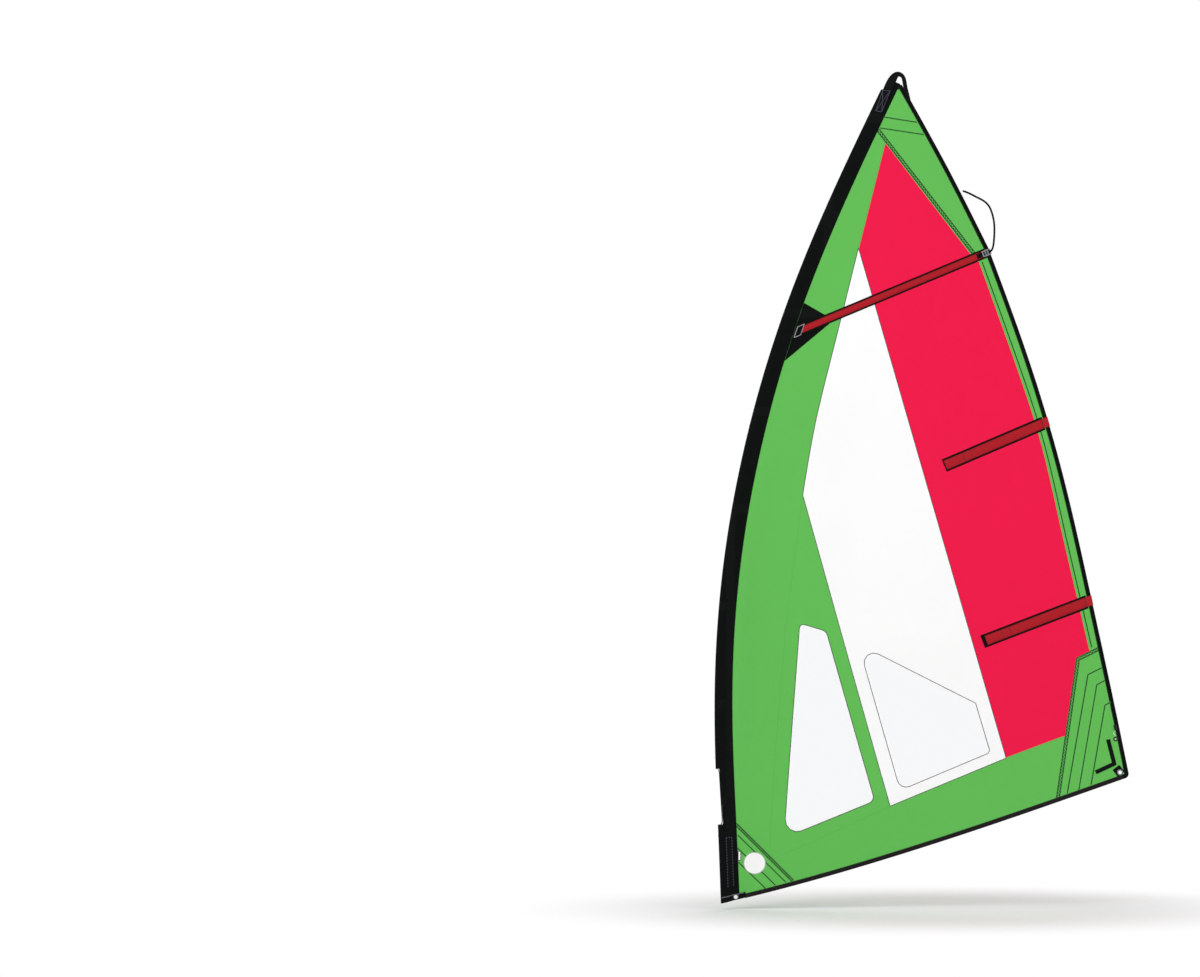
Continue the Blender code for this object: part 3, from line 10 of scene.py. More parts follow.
import bmesh
import bpy
import numpy as np
from mathutils import Vector, geometry, noise
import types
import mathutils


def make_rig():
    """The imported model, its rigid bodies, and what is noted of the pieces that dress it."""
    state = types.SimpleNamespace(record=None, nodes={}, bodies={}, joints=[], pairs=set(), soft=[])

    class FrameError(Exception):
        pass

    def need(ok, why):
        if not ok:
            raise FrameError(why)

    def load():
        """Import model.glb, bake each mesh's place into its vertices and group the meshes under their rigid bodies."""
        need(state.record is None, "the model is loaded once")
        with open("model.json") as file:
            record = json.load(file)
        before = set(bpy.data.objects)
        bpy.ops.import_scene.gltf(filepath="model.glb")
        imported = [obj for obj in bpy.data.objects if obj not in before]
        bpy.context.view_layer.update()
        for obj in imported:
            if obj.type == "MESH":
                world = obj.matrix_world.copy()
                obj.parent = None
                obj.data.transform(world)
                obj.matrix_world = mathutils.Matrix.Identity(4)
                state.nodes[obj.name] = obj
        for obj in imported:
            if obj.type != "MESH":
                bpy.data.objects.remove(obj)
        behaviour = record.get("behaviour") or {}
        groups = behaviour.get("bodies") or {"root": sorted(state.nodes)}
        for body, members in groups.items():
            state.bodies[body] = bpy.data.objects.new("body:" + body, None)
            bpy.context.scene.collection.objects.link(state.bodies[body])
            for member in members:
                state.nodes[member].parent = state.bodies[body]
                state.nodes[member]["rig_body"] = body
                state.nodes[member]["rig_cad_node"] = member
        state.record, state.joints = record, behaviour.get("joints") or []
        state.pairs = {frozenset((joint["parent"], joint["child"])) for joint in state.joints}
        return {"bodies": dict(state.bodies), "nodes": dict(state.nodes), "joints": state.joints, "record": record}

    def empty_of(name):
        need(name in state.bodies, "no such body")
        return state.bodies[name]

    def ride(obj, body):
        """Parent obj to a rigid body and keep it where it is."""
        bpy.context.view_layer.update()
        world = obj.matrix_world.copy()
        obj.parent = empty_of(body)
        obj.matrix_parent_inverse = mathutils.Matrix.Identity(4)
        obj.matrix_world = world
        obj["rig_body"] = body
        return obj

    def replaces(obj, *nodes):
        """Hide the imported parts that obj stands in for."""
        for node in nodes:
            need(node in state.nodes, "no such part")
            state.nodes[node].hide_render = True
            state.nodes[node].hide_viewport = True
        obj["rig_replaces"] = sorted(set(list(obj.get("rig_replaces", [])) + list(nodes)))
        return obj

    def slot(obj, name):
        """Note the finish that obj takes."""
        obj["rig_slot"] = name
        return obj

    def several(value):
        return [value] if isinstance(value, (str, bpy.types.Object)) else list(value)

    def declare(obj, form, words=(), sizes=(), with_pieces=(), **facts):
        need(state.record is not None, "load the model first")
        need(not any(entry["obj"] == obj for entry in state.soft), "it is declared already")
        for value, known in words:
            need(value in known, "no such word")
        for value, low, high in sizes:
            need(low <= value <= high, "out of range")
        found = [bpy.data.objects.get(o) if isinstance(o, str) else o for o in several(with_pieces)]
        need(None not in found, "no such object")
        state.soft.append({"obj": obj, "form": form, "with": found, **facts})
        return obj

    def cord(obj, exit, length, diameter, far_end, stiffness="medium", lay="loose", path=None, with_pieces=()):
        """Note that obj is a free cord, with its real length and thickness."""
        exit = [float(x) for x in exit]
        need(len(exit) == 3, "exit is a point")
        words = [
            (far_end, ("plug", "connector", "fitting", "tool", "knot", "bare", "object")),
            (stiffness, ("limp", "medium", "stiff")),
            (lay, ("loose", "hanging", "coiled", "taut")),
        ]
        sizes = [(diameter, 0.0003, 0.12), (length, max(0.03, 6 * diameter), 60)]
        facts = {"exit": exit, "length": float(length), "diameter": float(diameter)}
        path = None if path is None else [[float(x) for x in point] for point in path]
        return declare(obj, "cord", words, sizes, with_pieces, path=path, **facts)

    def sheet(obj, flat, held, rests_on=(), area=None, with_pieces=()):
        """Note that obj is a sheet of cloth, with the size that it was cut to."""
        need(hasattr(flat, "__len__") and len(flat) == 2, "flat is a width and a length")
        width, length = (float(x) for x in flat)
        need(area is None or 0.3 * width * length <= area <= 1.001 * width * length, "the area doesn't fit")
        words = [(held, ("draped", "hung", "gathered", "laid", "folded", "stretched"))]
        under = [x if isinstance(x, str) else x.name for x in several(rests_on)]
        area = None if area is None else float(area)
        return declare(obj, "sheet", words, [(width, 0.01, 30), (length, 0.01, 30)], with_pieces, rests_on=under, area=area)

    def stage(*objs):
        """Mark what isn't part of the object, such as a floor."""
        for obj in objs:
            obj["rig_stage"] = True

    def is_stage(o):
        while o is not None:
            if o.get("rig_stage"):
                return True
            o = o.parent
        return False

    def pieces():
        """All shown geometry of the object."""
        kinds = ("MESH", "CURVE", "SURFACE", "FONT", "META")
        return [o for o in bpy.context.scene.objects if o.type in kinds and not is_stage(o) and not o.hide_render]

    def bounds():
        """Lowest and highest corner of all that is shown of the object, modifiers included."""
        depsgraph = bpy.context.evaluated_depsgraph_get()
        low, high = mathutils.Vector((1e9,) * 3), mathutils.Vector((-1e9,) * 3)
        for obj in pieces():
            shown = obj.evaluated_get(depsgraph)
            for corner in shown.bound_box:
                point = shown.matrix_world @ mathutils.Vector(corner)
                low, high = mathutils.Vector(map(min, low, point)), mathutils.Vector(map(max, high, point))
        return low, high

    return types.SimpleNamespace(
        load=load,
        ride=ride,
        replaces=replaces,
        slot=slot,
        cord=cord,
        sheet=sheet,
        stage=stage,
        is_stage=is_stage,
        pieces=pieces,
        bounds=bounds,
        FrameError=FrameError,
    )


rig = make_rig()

bl_info = {
    "name": "Windsurf sail",
    "version": (1, 0, 0),
    "blender": (4, 5, 0),
    "location": "3D View > Sidebar > Sail",
    "description": "Builds the cloth, sleeve, windows, pockets, tapes and fittings of a windsurf sail",
    "category": "Object",
}

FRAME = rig.load()
NODES = FRAME["nodes"]
CAD_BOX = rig.bounds()

# Outline of the sail, as (height, x) for luff and leech and (x, height) for the foot
LUFF = (
    (0.0, -0.027),
    (0.394, -0.042),
    (0.835, -0.058),
    (1.142, -0.058),
    (1.757, -0.012),
    (2.372, 0.101),
    (2.987, 0.280),
    (3.601, 0.526),
    (4.190, 0.803),
)
LEECH_BELOW_KINK = (
    (0.649, 2.066),
    (0.989, 1.996),
    (1.603, 1.863),
    (2.218, 1.720),
    (2.833, 1.535),
    (3.360, 1.343),
)
LEECH_ABOVE_KINK = ((3.360, 1.343), (3.755, 1.143), (4.195, 0.900))
FOOT = ((-0.027, -0.002), (0.152, 0.041), (0.793, 0.220), (1.274, 0.374), (2.066, 0.649))
CLEW_CORNER_HEIGHT = 0.649

# Cloth and its layers
CLOTH = 0.0008
PATCH = 0.0005
GAP = 0.0003
SEAM_CLOSE = 0.0002

# Rows of sewing: their widths, the section of a raised row as (share of half its width, rise), and the
# longest step along a row
STITCH_RISE = 0.0003
LOW_RISE = 0.0002
OUTLINE_ROW = 0.0036
WINDOW_ROW = 0.0034
LABEL_ROW = 0.0038
SEAM_ROW = 0.0050
DARK_ROW = 0.0064
ZIGZAG_ROW = 0.0125
BOX_ROW = 0.0042
ROW_SECTION = ((-1.0, 0.0), (-0.5, STITCH_RISE), (0.5, STITCH_RISE), (1.0, 0.0))
ROW_STEP = 0.012
FACE_GAP = 0.0001

# Belly of the rigged sail
BELLY_DEPTH = 0.075
BELLY_TOP = 2.75
BELLY_FOOT = 0.12
BELLY_LUFF = 0.022
BELLY_AFT = 0.62
BELLY_COLUMNS = (0.0, 0.12, 0.27, 0.44, 0.62, 0.81, 1.0)
BELLY_ROWS = (0.0, 0.07, 0.16, 0.27, 0.40, 0.54, 0.69, 0.85, 1.0)

# Luff sleeve
SLEEVE_TOP = 4.17
HEAD_TUCK = 0.0035
SLEEVE_WIDTH_FOOT = 0.097
SLEEVE_WIDTH_HEAD = 0.076
SLEEVE_CLOTH = 0.0012
SLEEVE_SLACK = 0.0016
SLACK_FROM_CUTOUT = 0.08
SLACK_FROM_FOOT = 0.2
SLEEVE_NOSE_FOOT = 0.027
SLEEVE_NOSE_HEAD = 0.017
SLEEVE_NOSE_TIP = 0.008
SLEEVE_TIP = 0.25
SLEEVE_END_SLANT = 0.47
SLEEVE_LIP = 0.014
MOUTH_LIP_START = 0.058
MOUTH_LIP_RISE = 0.25
MOUTH_BAND_HEIGHT = 0.033
MOUTH_BAND_WIDTH = 0.128
MOUTH_ROW_ENDS = (0.004, 0.120)
MOUTH_ROW_DROP = 0.004
MOUTH_ROW_HALF = 0.0018
SLEEVE_JOINTS = (0.345, 0.745, 2.45)
JOINT_HALF = 0.006
JOINT_CLOTH = 0.0004
JOINT_LIFT = 0.0006
CUTOUT_HEIGHTS = (0.400, 0.694)
CUTOUT_EDGE = (-0.016, -0.034)
CUTOUT_CORNER = 0.012
CUTOUT_FRONT = -0.12
EDGING_RADIUS = 0.0018
EDGING_CORNER = 0.010
EDGING_CORNER_REACH = 0.7
EDGING_CLEAR = 0.0006
TACK_WEBBING = (0.0355, 0.0725)
STRIP_ROUND = 0.0015
TACK_WEBBING_FOOT = 0.075
TACK_WEBBING_LIFT = 0.0008
TACK_WEBBING_THICK = 0.0012
TACK_ROW_LIFT = 0.0021
TACK_ROW_WIDTH = 0.0036
TACK_ROW_MARGIN = 0.0022
TACK_ROW_RISE = 0.004
TACK_WEBBING_DROP = 0.004
TACK_RING = (0.0495, 0.034)
RING_CUT = 0.0103

# Edge tapes
TAPE_WIDTH = 0.023
TAPE_CLOTH = 0.0006
LEECH_STEP = 0.025
LEECH_NOSE = 0.0027
LEECH_LIP_START = 0.010
FOOT_NOSE = 0.0014
FOOT_LIP_START = 0.003
FOOT_TAPE_START = 0.0988
LINE_RADIUS = 0.00125
CLEW_CORNER_RADIUS = 0.025
CLEW_CORNER_POINTS = 12
CORNER_END_STEP = 0.006
KINK_ROOM = 0.04
LEECH_END_ROOM = 0.06
FOOT_TAPE_GAP = 0.0006
TAPE_ROW_INSET = 0.003

# Where the leech and the foot are read for the clew's corner: heights above it, and distances aft
CORNER_RISES = (0.10, 0.05)
CORNER_REACHES = (1.966, 2.016)

# Seams between the panels
WHITE_TOP = (0.678, 3.358)
WHITE_FRONT = (0.394, 2.093)
WHITE_FOOT = (0.840, 0.499)
RED_TOP = (0.815, 3.901)
RED_FOOT = (1.434, 0.745)
RED_FOOT_AFT = (1.726, 0.854)
WINDOW_PANEL_FRONT = ((0.307, 1.401), (0.246, 0.699))
WINDOW_PANEL_FOOT = (0.220, 0.218)
FOOT_SEAM_LUFF = (0.055, 0.143)
HEAD_SEAM_LUFF = (0.768, 3.955)
HEAD_SEAM_LEECH = (1.263, 3.316)
LUFF_PANEL_CURVE = ((2.093, 0.394), (2.477, 0.461), (2.784, 0.535), (3.358, 0.678))
STRIP_CURVE = (
    (1.292, 1.864),
    (1.555, 1.803),
    (1.965, 1.708),
    (2.375, 1.611),
    (2.784, 1.478),
    (3.286, 1.298),
)
CLEW_LINES = (
    ((1.916, 1.319), (1.794, 1.258), (1.690, 0.540)),
    ((1.927, 1.212), (1.851, 1.174), (1.745, 0.565)),
    ((1.942, 1.147), (1.896, 1.122), (1.804, 0.582)),
    ((1.969, 1.035), (1.938, 1.017), (1.867, 0.609)),
)
TACK_LINES = (
    ((0.054, 0.410), (0.345, 0.120)),
    ((0.060, 0.350), (0.305, 0.110)),
    ((0.060, 0.290), (0.256, 0.097)),
    ((0.063, 0.212), (0.201, 0.078)),
)
HEAD_LINES = (((0.787, 3.968), (1.012, 3.934)), ((0.806, 4.024), (0.976, 3.997)))
TACK_BAND = 0.0052
TACK_BAND_ROWS = (-0.0054, 0.0054)
DOUBLE_ROWS = (-0.0072, 0.0072)

# How far aside of a seam or a patch's edge its rows of sewing lie, to the right when that is positive
HEAD_SEAM_ASIDE = -0.0130
CLEW_SEAM_ASIDE = -0.0095
STRIP_ROW_ASIDE = 0.013
CLEW_ROWS_ASIDE = -0.0028
HEAD_ROWS_ASIDE = -0.005
TACK_ROW_ASIDE = 0.005
STRIP_FOOT = 1.30
STRIP_ROW_FOOT = 1.31
STRIP_ROW_DROP = 0.004

# Pockets
TOP_POCKET = ((0.394, 2.942), (1.292, 3.316))
LEECH_POCKETS = {
    "mid": ((1.117, 2.243), (1.654, 2.472), 0.007),
    "low": ((1.314, 1.341), (1.876, 1.556), 0.020),
}
TOP_COVER_WIDTH = 0.032
LEECH_COVER_WIDTH = 0.0485
BACKING_ROOM = 0.0022
CHAFE_WIDTH = 0.024
CHAFE_REACH = 0.009
NOSE_POCKET_LENGTH = 0.043
NOSE_POCKET_WIDTH = 0.048
POCKET_ROOM = 0.0045
POCKET_CLOTH = 0.0008
POCKET_HEM = 0.003
COVER_WAVE = 0.00035
POCKET_ROLL = 0.008
HEM_ROW_INSET = 0.0016
ELASTIC_THICK = 0.003
FLAP_LENGTH = 0.028
FLAP_WIDTH = 0.050
FLAP_CLOTH = 0.0009
FLAP_ROOT = 0.0032
FLAP_START = 0.0002
FLAP_ROW = 0.0070
FLAP_OVERLAP = 0.001
FLAP_FOLD_OUT = 0.001
FLAP_FLAT = (-0.0010, 0.004)
FLAP_END = (0.0, 0.003, 0.004)
FLAP_END_TUCK = 0.96
FLAP_SINK = 0.55
CROSS_STITCHES = (0.110, 0.152)

# Along a pocket, from its inner end: where its section stops following the luff and is square, where its
# cover starts to rise and is up, and how far from its ends its rows of sewing stop
TOP_POCKET_SQUARE = (0.020, 0.060)
TOP_POCKET_END_TURN = 0.05
TOP_MOUTH_GAP = 0.001
TOP_HEM_ENDS = (0.02, 0.004)
NOSE_POCKET_RISE = (0.005, 0.012)
NOSE_ROW_INSET = 0.0024
NOSE_ROW_ENDS = (0.0035, 0.003)
NOSE_END_ROW = 0.0032
LEECH_POCKET_RISE = (0.006, 0.014)
LEECH_HEM_ENDS = (0.002, 0.012)
LEECH_END_ROW = 0.003

# A flap's section between its root and the pocket's crest, as (distance in, share of the rise), and its
# outline across as shares of half its width
FLAP_RISE = ((0.009, 0.0), (0.012, 0.12), (0.016, 0.50), (0.020, 0.88), (FLAP_LENGTH - 0.005, 1.0))
FLAP_ACROSS = (-1.0, -0.96, -0.88, -0.6, -0.3, 0.0, 0.3, 0.6, 0.88, 0.96, 1.0)
FLAP_ROLL = 0.88

# Strap on the top batten's buckle: its section as (share of half its width, share of its thickness), its
# thread through the slot as (along the pocket, in front), then its arch to the leech's edge as (x, height,
# share of the way back to the cloth)
STRAP_WIDTH = 0.010
STRAP_THICK = 0.0016
STRAP_POINTS = 120
STRAP_TIP_TAPER = 0.3
STRAP_SECTION = (
    (-1.0, 0.35), (-0.8, 0.0), (0.8, 0.0), (1.0, 0.35), (1.0, 0.65), (0.8, 1.0), (-0.8, 1.0), (-1.0, 0.65),
)
STRAP_SLOT = 0.0550
STRAP_LEVEL = 0.0126
STRAP_TIP_LEVEL = 0.0032
STRAP_THREAD = ((0.0010, 0.0082), (0.0032, 0.0106), (0.0056, 0.0124), (0.0120, STRAP_LEVEL))
STRAP_ARCH = (
    (1.3640, 3.3560, 0.0),
    (1.3700, 3.3850, 0.0),
    (1.3730, 3.4250, 0.02),
    (1.3735, 3.4600, 0.04),
    (1.3700, 3.5000, 0.08),
    (1.3590, 3.5430, 0.17),
    (1.3450, 3.5730, 0.28),
    (1.3220, 3.5965, 0.42),
    (1.2757, 3.6220, 0.66),
    (1.2400, 3.6400, 0.85),
    (1.2100, 3.6510, 1.0),
)

# Head strap: the height and edges of its sewn part on the sleeve, at its foot and top, then its loop as
# (x, z, distance in front of the cloth, half width, how far its front edge stands out, slant of its section)
HEAD_STRAP_HEIGHTS = (4.062, 4.166)
HEAD_STRAP_FRONT = (0.021, 0.008)
HEAD_STRAP_AFT = (0.055, 0.047)
HEAD_STRAP_LIFT = 0.0010
HEAD_ROW_MARGIN = 0.0018
HEAD_STRAP_THICK = 0.0012
HEAD_LOOP_THICK = 0.0028
HEAD_LOOP_ROUND = 0.0012
HEAD_LOOP = (
    (0.8244, 4.1690, 0.0083, 0.0188, 0.0023, 0.56),
    (0.8440, 4.2060, 0.0066, 0.0225, 0.0014, 0.25),
    (0.8585, 4.2310, 0.0054, 0.0195, 0.0005, 0.05),
    (0.8800, 4.2478, 0.0046, 0.0135, 0.0, 0.0),
    (0.9010, 4.2400, 0.0046, 0.0105, 0.0, 0.0),
    (0.9125, 4.2130, 0.0048, 0.0108, 0.0, 0.0),
    (0.9185, 4.1800, 0.0048, 0.0106, 0.0, 0.0),
    (0.9265, 4.1480, 0.0048, 0.0104, 0.0, 0.0),
    (0.9370, 4.1130, 0.0048, 0.0086, 0.0, 0.0),
)

# Webbing at the clew and under the buckle
CLEW_SQUARE = (2.010, 0.680)
CLEW_SQUARE_TURN = math.radians(37)
CLEW_STRAP_LEG = ((1.957, 0.838), (1.988, 0.716))
CLEW_STRAP_THICK = 0.0012
CLEW_STRAP_ROOM = 0.0024
ANCHOR_THICK = 0.0016

# Leech line's fittings
LINE_EYELET = (1.995, 0.843)
LINE_INSET = 0.0050
LINE_ENDS = ((1.996, 0.8595), (1.9955, 0.8855))
LINE_LIFT = 0.0016
LINE_BOW = 0.0105
KNOT_RADIUS = 0.0022
KNOT_RISE = 0.0018

# The stage
WHITE = (1.0, 1.0, 1.0, 1.0)
FLOOR_RADIUS = 16.0
FLOOR_FADE = (0.8, 2.2)
LAMP_AIM = (0.9, 0.0, 1.9)
CAMERA_SENSOR = 36.0

SAIL_BODY = "sail"
BUCKLE_BODY = "tension_buckle"
GREEN_NODES = (
    "luff_panel", "front_window_panel", "head_panel", "leech_panel", "foot_panel", "clew_panel",
)
FRONT_PATCHES = {
    "clew_patch_large": 1, "clew_patch_small": 2, "tack_patch_large": 1, "tack_patch_small": 2,
    "head_patch_large": 1, "head_patch_small": 2,
}
BACK_PATCHES = {"clew_patch_middle": 1, "tack_patch_middle": 1}

# Which finishes each slot of the object wears
SLOT_FINISHES = {
    "green_cloth": (
        "green_sailcloth", "sewing_green", "sewing_dark_on_green", "sewing_zigzag_on_green",
        "sewing_zigzag_at_tack",
    ),
    "red_cloth": ("red_sailcloth",),
    "white_cloth": ("white_sailcloth",),
    "pocket_cloth": ("pocket_sailcloth", "sewing_on_pocket", "sewing_across_pocket"),
    "flap_cloth": ("flap_sailcloth",),
    "sleeve_cloth": ("sleeve_weave",),
    "edge_tape": (
        "tape_weave", "sewing_outline", "sewing_pale_edge", "sewing_on_band", "sewing_box", "sewing_black",
    ),
    "foot_tape": ("foot_tape_weave",),
    "window_film": ("clear_film",),
    "webbing": ("black_webbing", "sewing_violet", "sewing_dotted"),
    "elastic": ("black_elastic",),
    "white_line": ("white_braid",),
}
SLOTS = {finish: slot for slot, finishes in SLOT_FINISHES.items() for finish in finishes}


def smooth_curve(stations):
    """The natural cubic spline through (position, value) stations, as a function of an array."""
    at, value = np.array(stations, float).T
    step = np.diff(at)
    count = len(at)
    system = np.eye(count)
    load = np.zeros(count)
    for i in range(1, count - 1):
        system[i, i - 1 : i + 2] = step[i - 1], 2 * (step[i - 1] + step[i]), step[i]
        load[i] = 6 * ((value[i + 1] - value[i]) / step[i] - (value[i] - value[i - 1]) / step[i - 1])
    bend = np.linalg.solve(system, load)

    def value_at(position):
        i = np.clip(np.searchsorted(at, position) - 1, 0, count - 2)
        far = at[i + 1] - position
        near = position - at[i]
        cubic = (bend[i] * far**3 + bend[i + 1] * near**3) / (6 * step[i])
        left = (value[i] / step[i] - bend[i] * step[i] / 6) * far
        right = (value[i + 1] / step[i] - bend[i + 1] * step[i] / 6) * near
        return cubic + left + right

    return value_at


def eased_curve(stations, level_start):
    """A curve through the stations that doesn't overshoot, and comes in level at its end."""
    at, value = np.array(stations, float).T
    step = np.diff(at)
    slope = np.diff(value) / step
    tangent = np.zeros(len(at))
    for i in range(1, len(at) - 1):
        if slope[i - 1] * slope[i] > 0:
            tangent[i] = 2 / (1 / slope[i - 1] + 1 / slope[i])
    tangent[0] = 0.0 if level_start else slope[0] * 1.2

    def value_at(position):
        p = np.clip(position, at[0], at[-1])
        i = np.clip(np.searchsorted(at, p) - 1, 0, len(at) - 2)
        t = (p - at[i]) / step[i]
        ends = (1 + 2 * t) * (1 - t) ** 2 * value[i] + t * t * (3 - 2 * t) * value[i + 1]
        turns = t * (1 - t) ** 2 * tangent[i] + t * t * (t - 1) * tangent[i + 1]
        return ends + turns * step[i]

    return value_at


def belly_shape(share, front_power, aft_power):
    peak = front_power / (front_power + aft_power)
    top = peak**front_power * (1 - peak) ** aft_power
    return share**front_power * (1 - share) ** aft_power / top


luff_x = smooth_curve(LUFF)
leech_low_x = smooth_curve(LEECH_BELOW_KINK)
leech_high_x = smooth_curve(LEECH_ABOVE_KINK)
foot_z = smooth_curve(FOOT)
luff_panel_x = smooth_curve(LUFF_PANEL_CURVE)
strip_x = smooth_curve(STRIP_CURVE)
KINK = LEECH_ABOVE_KINK[0][0]
fullness_across = eased_curve([(s, belly_shape(s, 0.9, 1.6)) for s in BELLY_COLUMNS], False)
fullness_up = eased_curve([(s, belly_shape(s, 0.8, 1.3)) for s in BELLY_ROWS], True)


def leech_x(z):
    return np.where(np.asarray(z) > KINK, leech_high_x(z), leech_low_x(z))


def lean(curve, position):
    """Length along the curve for each unit of its position."""
    small = 0.001
    return np.hypot(1.0, (curve(position + small) - curve(position - small)) / (2 * small))


def sleeve_width(z):
    return SLEEVE_WIDTH_FOOT + (SLEEVE_WIDTH_HEAD - SLEEVE_WIDTH_FOOT) * z / SLEEVE_TOP


def aft_x(z, inset=0.0):
    """The sleeve's aft edge at this height, less an inset towards the luff."""
    return luff_x(z) + (sleeve_width(z) - inset) * lean(luff_x, z)


def leech_point(z, inset=0.0):
    return (float(leech_x(z) - inset * lean(leech_x, z)), float(z))


def foot_point(x, inset=0.0):
    return (float(x), float(foot_z(x) + inset * lean(foot_z, x)))


def belly(x, z):
    """How far the cloth's middle stands towards +Y."""
    low = foot_z(x)
    up = ((z - low) / (BELLY_TOP - low) - BELLY_FOOT) / (1 - BELLY_FOOT)
    front = aft_x(z) + BELLY_LUFF
    across = (x - front) / (BELLY_AFT * (leech_x(z) - front))
    inside = (across > 0) & (across < 1) & (up > 0) & (up < 1)
    return np.where(inside, BELLY_DEPTH * fullness_across(across) * fullness_up(up), 0.0)


def span(start, end, count):
    return [float(value) for value in np.linspace(start, end, count)]


def eased(share):
    """A share from 0 to 1 that starts and ends gently."""
    return share * share * (3 - 2 * share)


def unit(vector):
    return vector / np.linalg.norm(vector)


def front_level(layer):
    """The front of a patch layer on the front face, where layer 0 is the panel itself."""
    if layer == 0:
        return -CLOTH / 2
    return -(CLOTH / 2 + GAP + PATCH + (layer - 1) * (PATCH + GAP))


def spread(path, step):
    """A path's points, with more between them so that none are further apart than the step."""
    spots = [tuple(path[0])]
    for start, end in zip(path, path[1:]):
        pieces = max(1, math.ceil(math.dist(start, end) / step))
        for i in range(1, pieces + 1):
            spots.append(tuple(a + (b - a) * i / pieces for a, b in zip(start, end)))
    return spots


def reach_along(path):
    """The length from a path's start to each of its points."""
    steps = np.linalg.norm(np.diff(np.array(path, float), axis=0), axis=1)
    return [0.0, *np.cumsum(steps).tolist()]


def moved_aside(path, distance):
    """A path moved sideways, to the right of its direction when that is positive."""
    path = np.array(path, float)
    ahead = np.gradient(path, axis=0)
    moved = []
    for spot, step in zip(path, ahead):
        step = unit(step)
        moved.append((spot[0] + step[1] * distance, spot[1] - step[0] * distance))
    return moved


def inside(loop, x, z):
    """Which of the points lie inside a loop."""
    held = np.zeros(len(x), bool)
    for (x0, z0), (x1, z1) in zip(loop, loop[1:] + loop[:1]):
        if z0 != z1:
            crossing = ((z0 > z) != (z1 > z)) & (x < x0 + (z - z0) * (x1 - x0) / (z1 - z0))
            held ^= crossing
    return held


def within(loops, x, z):
    """Which of the points lie inside the first loop and outside the others, its holes."""
    kept = inside(loops[0], x, z)
    for hole in loops[1:]:
        kept &= ~inside(hole, x, z)
    return kept


def area_of(loop):
    x, z = np.array(loop).T
    return abs(float(np.sum(x * np.roll(z, -1) - np.roll(x, -1) * z))) / 2


def grown(loop, distance):
    """A loop moved outwards by a distance."""
    points = np.array(loop, float)
    before = np.roll(points, 1, axis=0)
    after = np.roll(points, -1, axis=0)
    signed = float(np.sum(points[:, 0] * after[:, 1] - after[:, 0] * points[:, 1]))
    out = []
    for point, last, following in zip(points, before, after):
        into, onward = unit(point - last), unit(following - point)
        normal = np.array((into[1] + onward[1], -into[0] - onward[0]))
        if signed < 0:
            normal = -normal
        size = max(float(normal @ normal) / 2, 0.3)
        out.append(tuple(point + normal * distance / size))
    return out


def loops_of(node):
    """The outline of a flat node's front face, then its holes, as (x, z) points."""
    mesh = NODES[node].data
    edges = set()
    for face in mesh.polygons:
        if face.normal.y < -0.5:
            corners = [mesh.vertices[i].co for i in face.vertices]
            corners = [(round(corner.x, 6), round(corner.z, 6)) for corner in corners]
            edges.update(zip(corners, corners[1:] + corners[:1]))
    border = {start: end for start, end in edges if (end, start) not in edges}
    loops = []
    while border:
        spot = min(border)
        loop = []
        while spot in border:
            loop.append(spot)
            spot = border.pop(spot)
        loops.append(loop)
    return sorted(loops, key=area_of, reverse=True)


def fill(loops, cell):
    """Points spread over an outline with holes, and the triangles between them."""
    loops = [spread([*loop, loop[0]], cell)[:-1] for loop in loops]
    border = np.array([point for loop in loops for point in loop])
    edges = []
    start = 0
    for loop in loops:
        edges += [(start + i, start + (i + 1) % len(loop)) for i in range(len(loop))]
        start += len(loop)
    low, high = border.min(axis=0), border.max(axis=0)
    rows = np.arange(low[1] + cell / 2, high[1], cell * 0.866)
    columns = np.arange(low[0], high[0] + cell, cell)
    x = np.concatenate([columns + (i % 2) * cell / 2 for i in range(len(rows))] or [np.zeros(0)])
    z = np.repeat(rows, len(columns))
    kept = within(loops, x, z)
    x, z = x[kept], z[kept]
    if len(x):
        away = np.min(np.hypot(x[:, None] - border[:, 0], z[:, None] - border[:, 1]), axis=1)
        x, z = x[away > cell * 0.55], z[away > cell * 0.55]
    corners = [Vector(point) for point in [*map(tuple, border), *zip(x.tolist(), z.tolist())]]
    flat = geometry.delaunay_2d_cdt(corners, edges, [], 0, 1e-7)
    spots = np.array([tuple(spot) for spot in flat[0]])
    triangles = np.array([tuple(face) for face in flat[2]])
    middle = spots[triangles].mean(axis=1)
    triangles = triangles[within(loops, *middle.T)]
    used, index = np.unique(triangles, return_inverse=True)
    return spots[used], index.reshape(-1, 3)


def add_object(name, data):
    made = bpy.data.objects.new(name, data)
    bpy.context.scene.collection.objects.link(made)
    return made


def smooth_shade(mesh, angle):
    mesh.shade_smooth()
    mesh.set_sharp_from_angle(angle=math.radians(angle))


def add_piece(name, points, faces, finish, places=None, smooth=40):
    """A mesh object with one finish; places are each point's (along, across) for stitching."""
    mesh = bpy.data.meshes.new(name)
    mesh.from_pydata([tuple(map(float, point)) for point in points], [], faces)
    if places is not None:
        layer = mesh.uv_layers.new(name="sewing")
        for loop in mesh.loops:
            layer.data[loop.index].uv = places[loop.vertex_index]
    work = bmesh.new()
    work.from_mesh(mesh)
    bmesh.ops.recalc_face_normals(work, faces=work.faces)
    work.to_mesh(mesh)
    work.free()
    mesh.materials.append(bpy.data.materials[finish])
    smooth_shade(mesh, smooth)
    return add_object(name, mesh)


def settle(piece, *nodes, body=SAIL_BODY, slot=None):
    """Puts a piece on its body, in its finish's slot and in the place of the nodes that it stands for."""
    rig.ride(piece, body)
    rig.slot(piece, slot or SLOTS[piece.data.materials[0].name])
    if nodes:
        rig.replaces(piece, *nodes)
    return piece


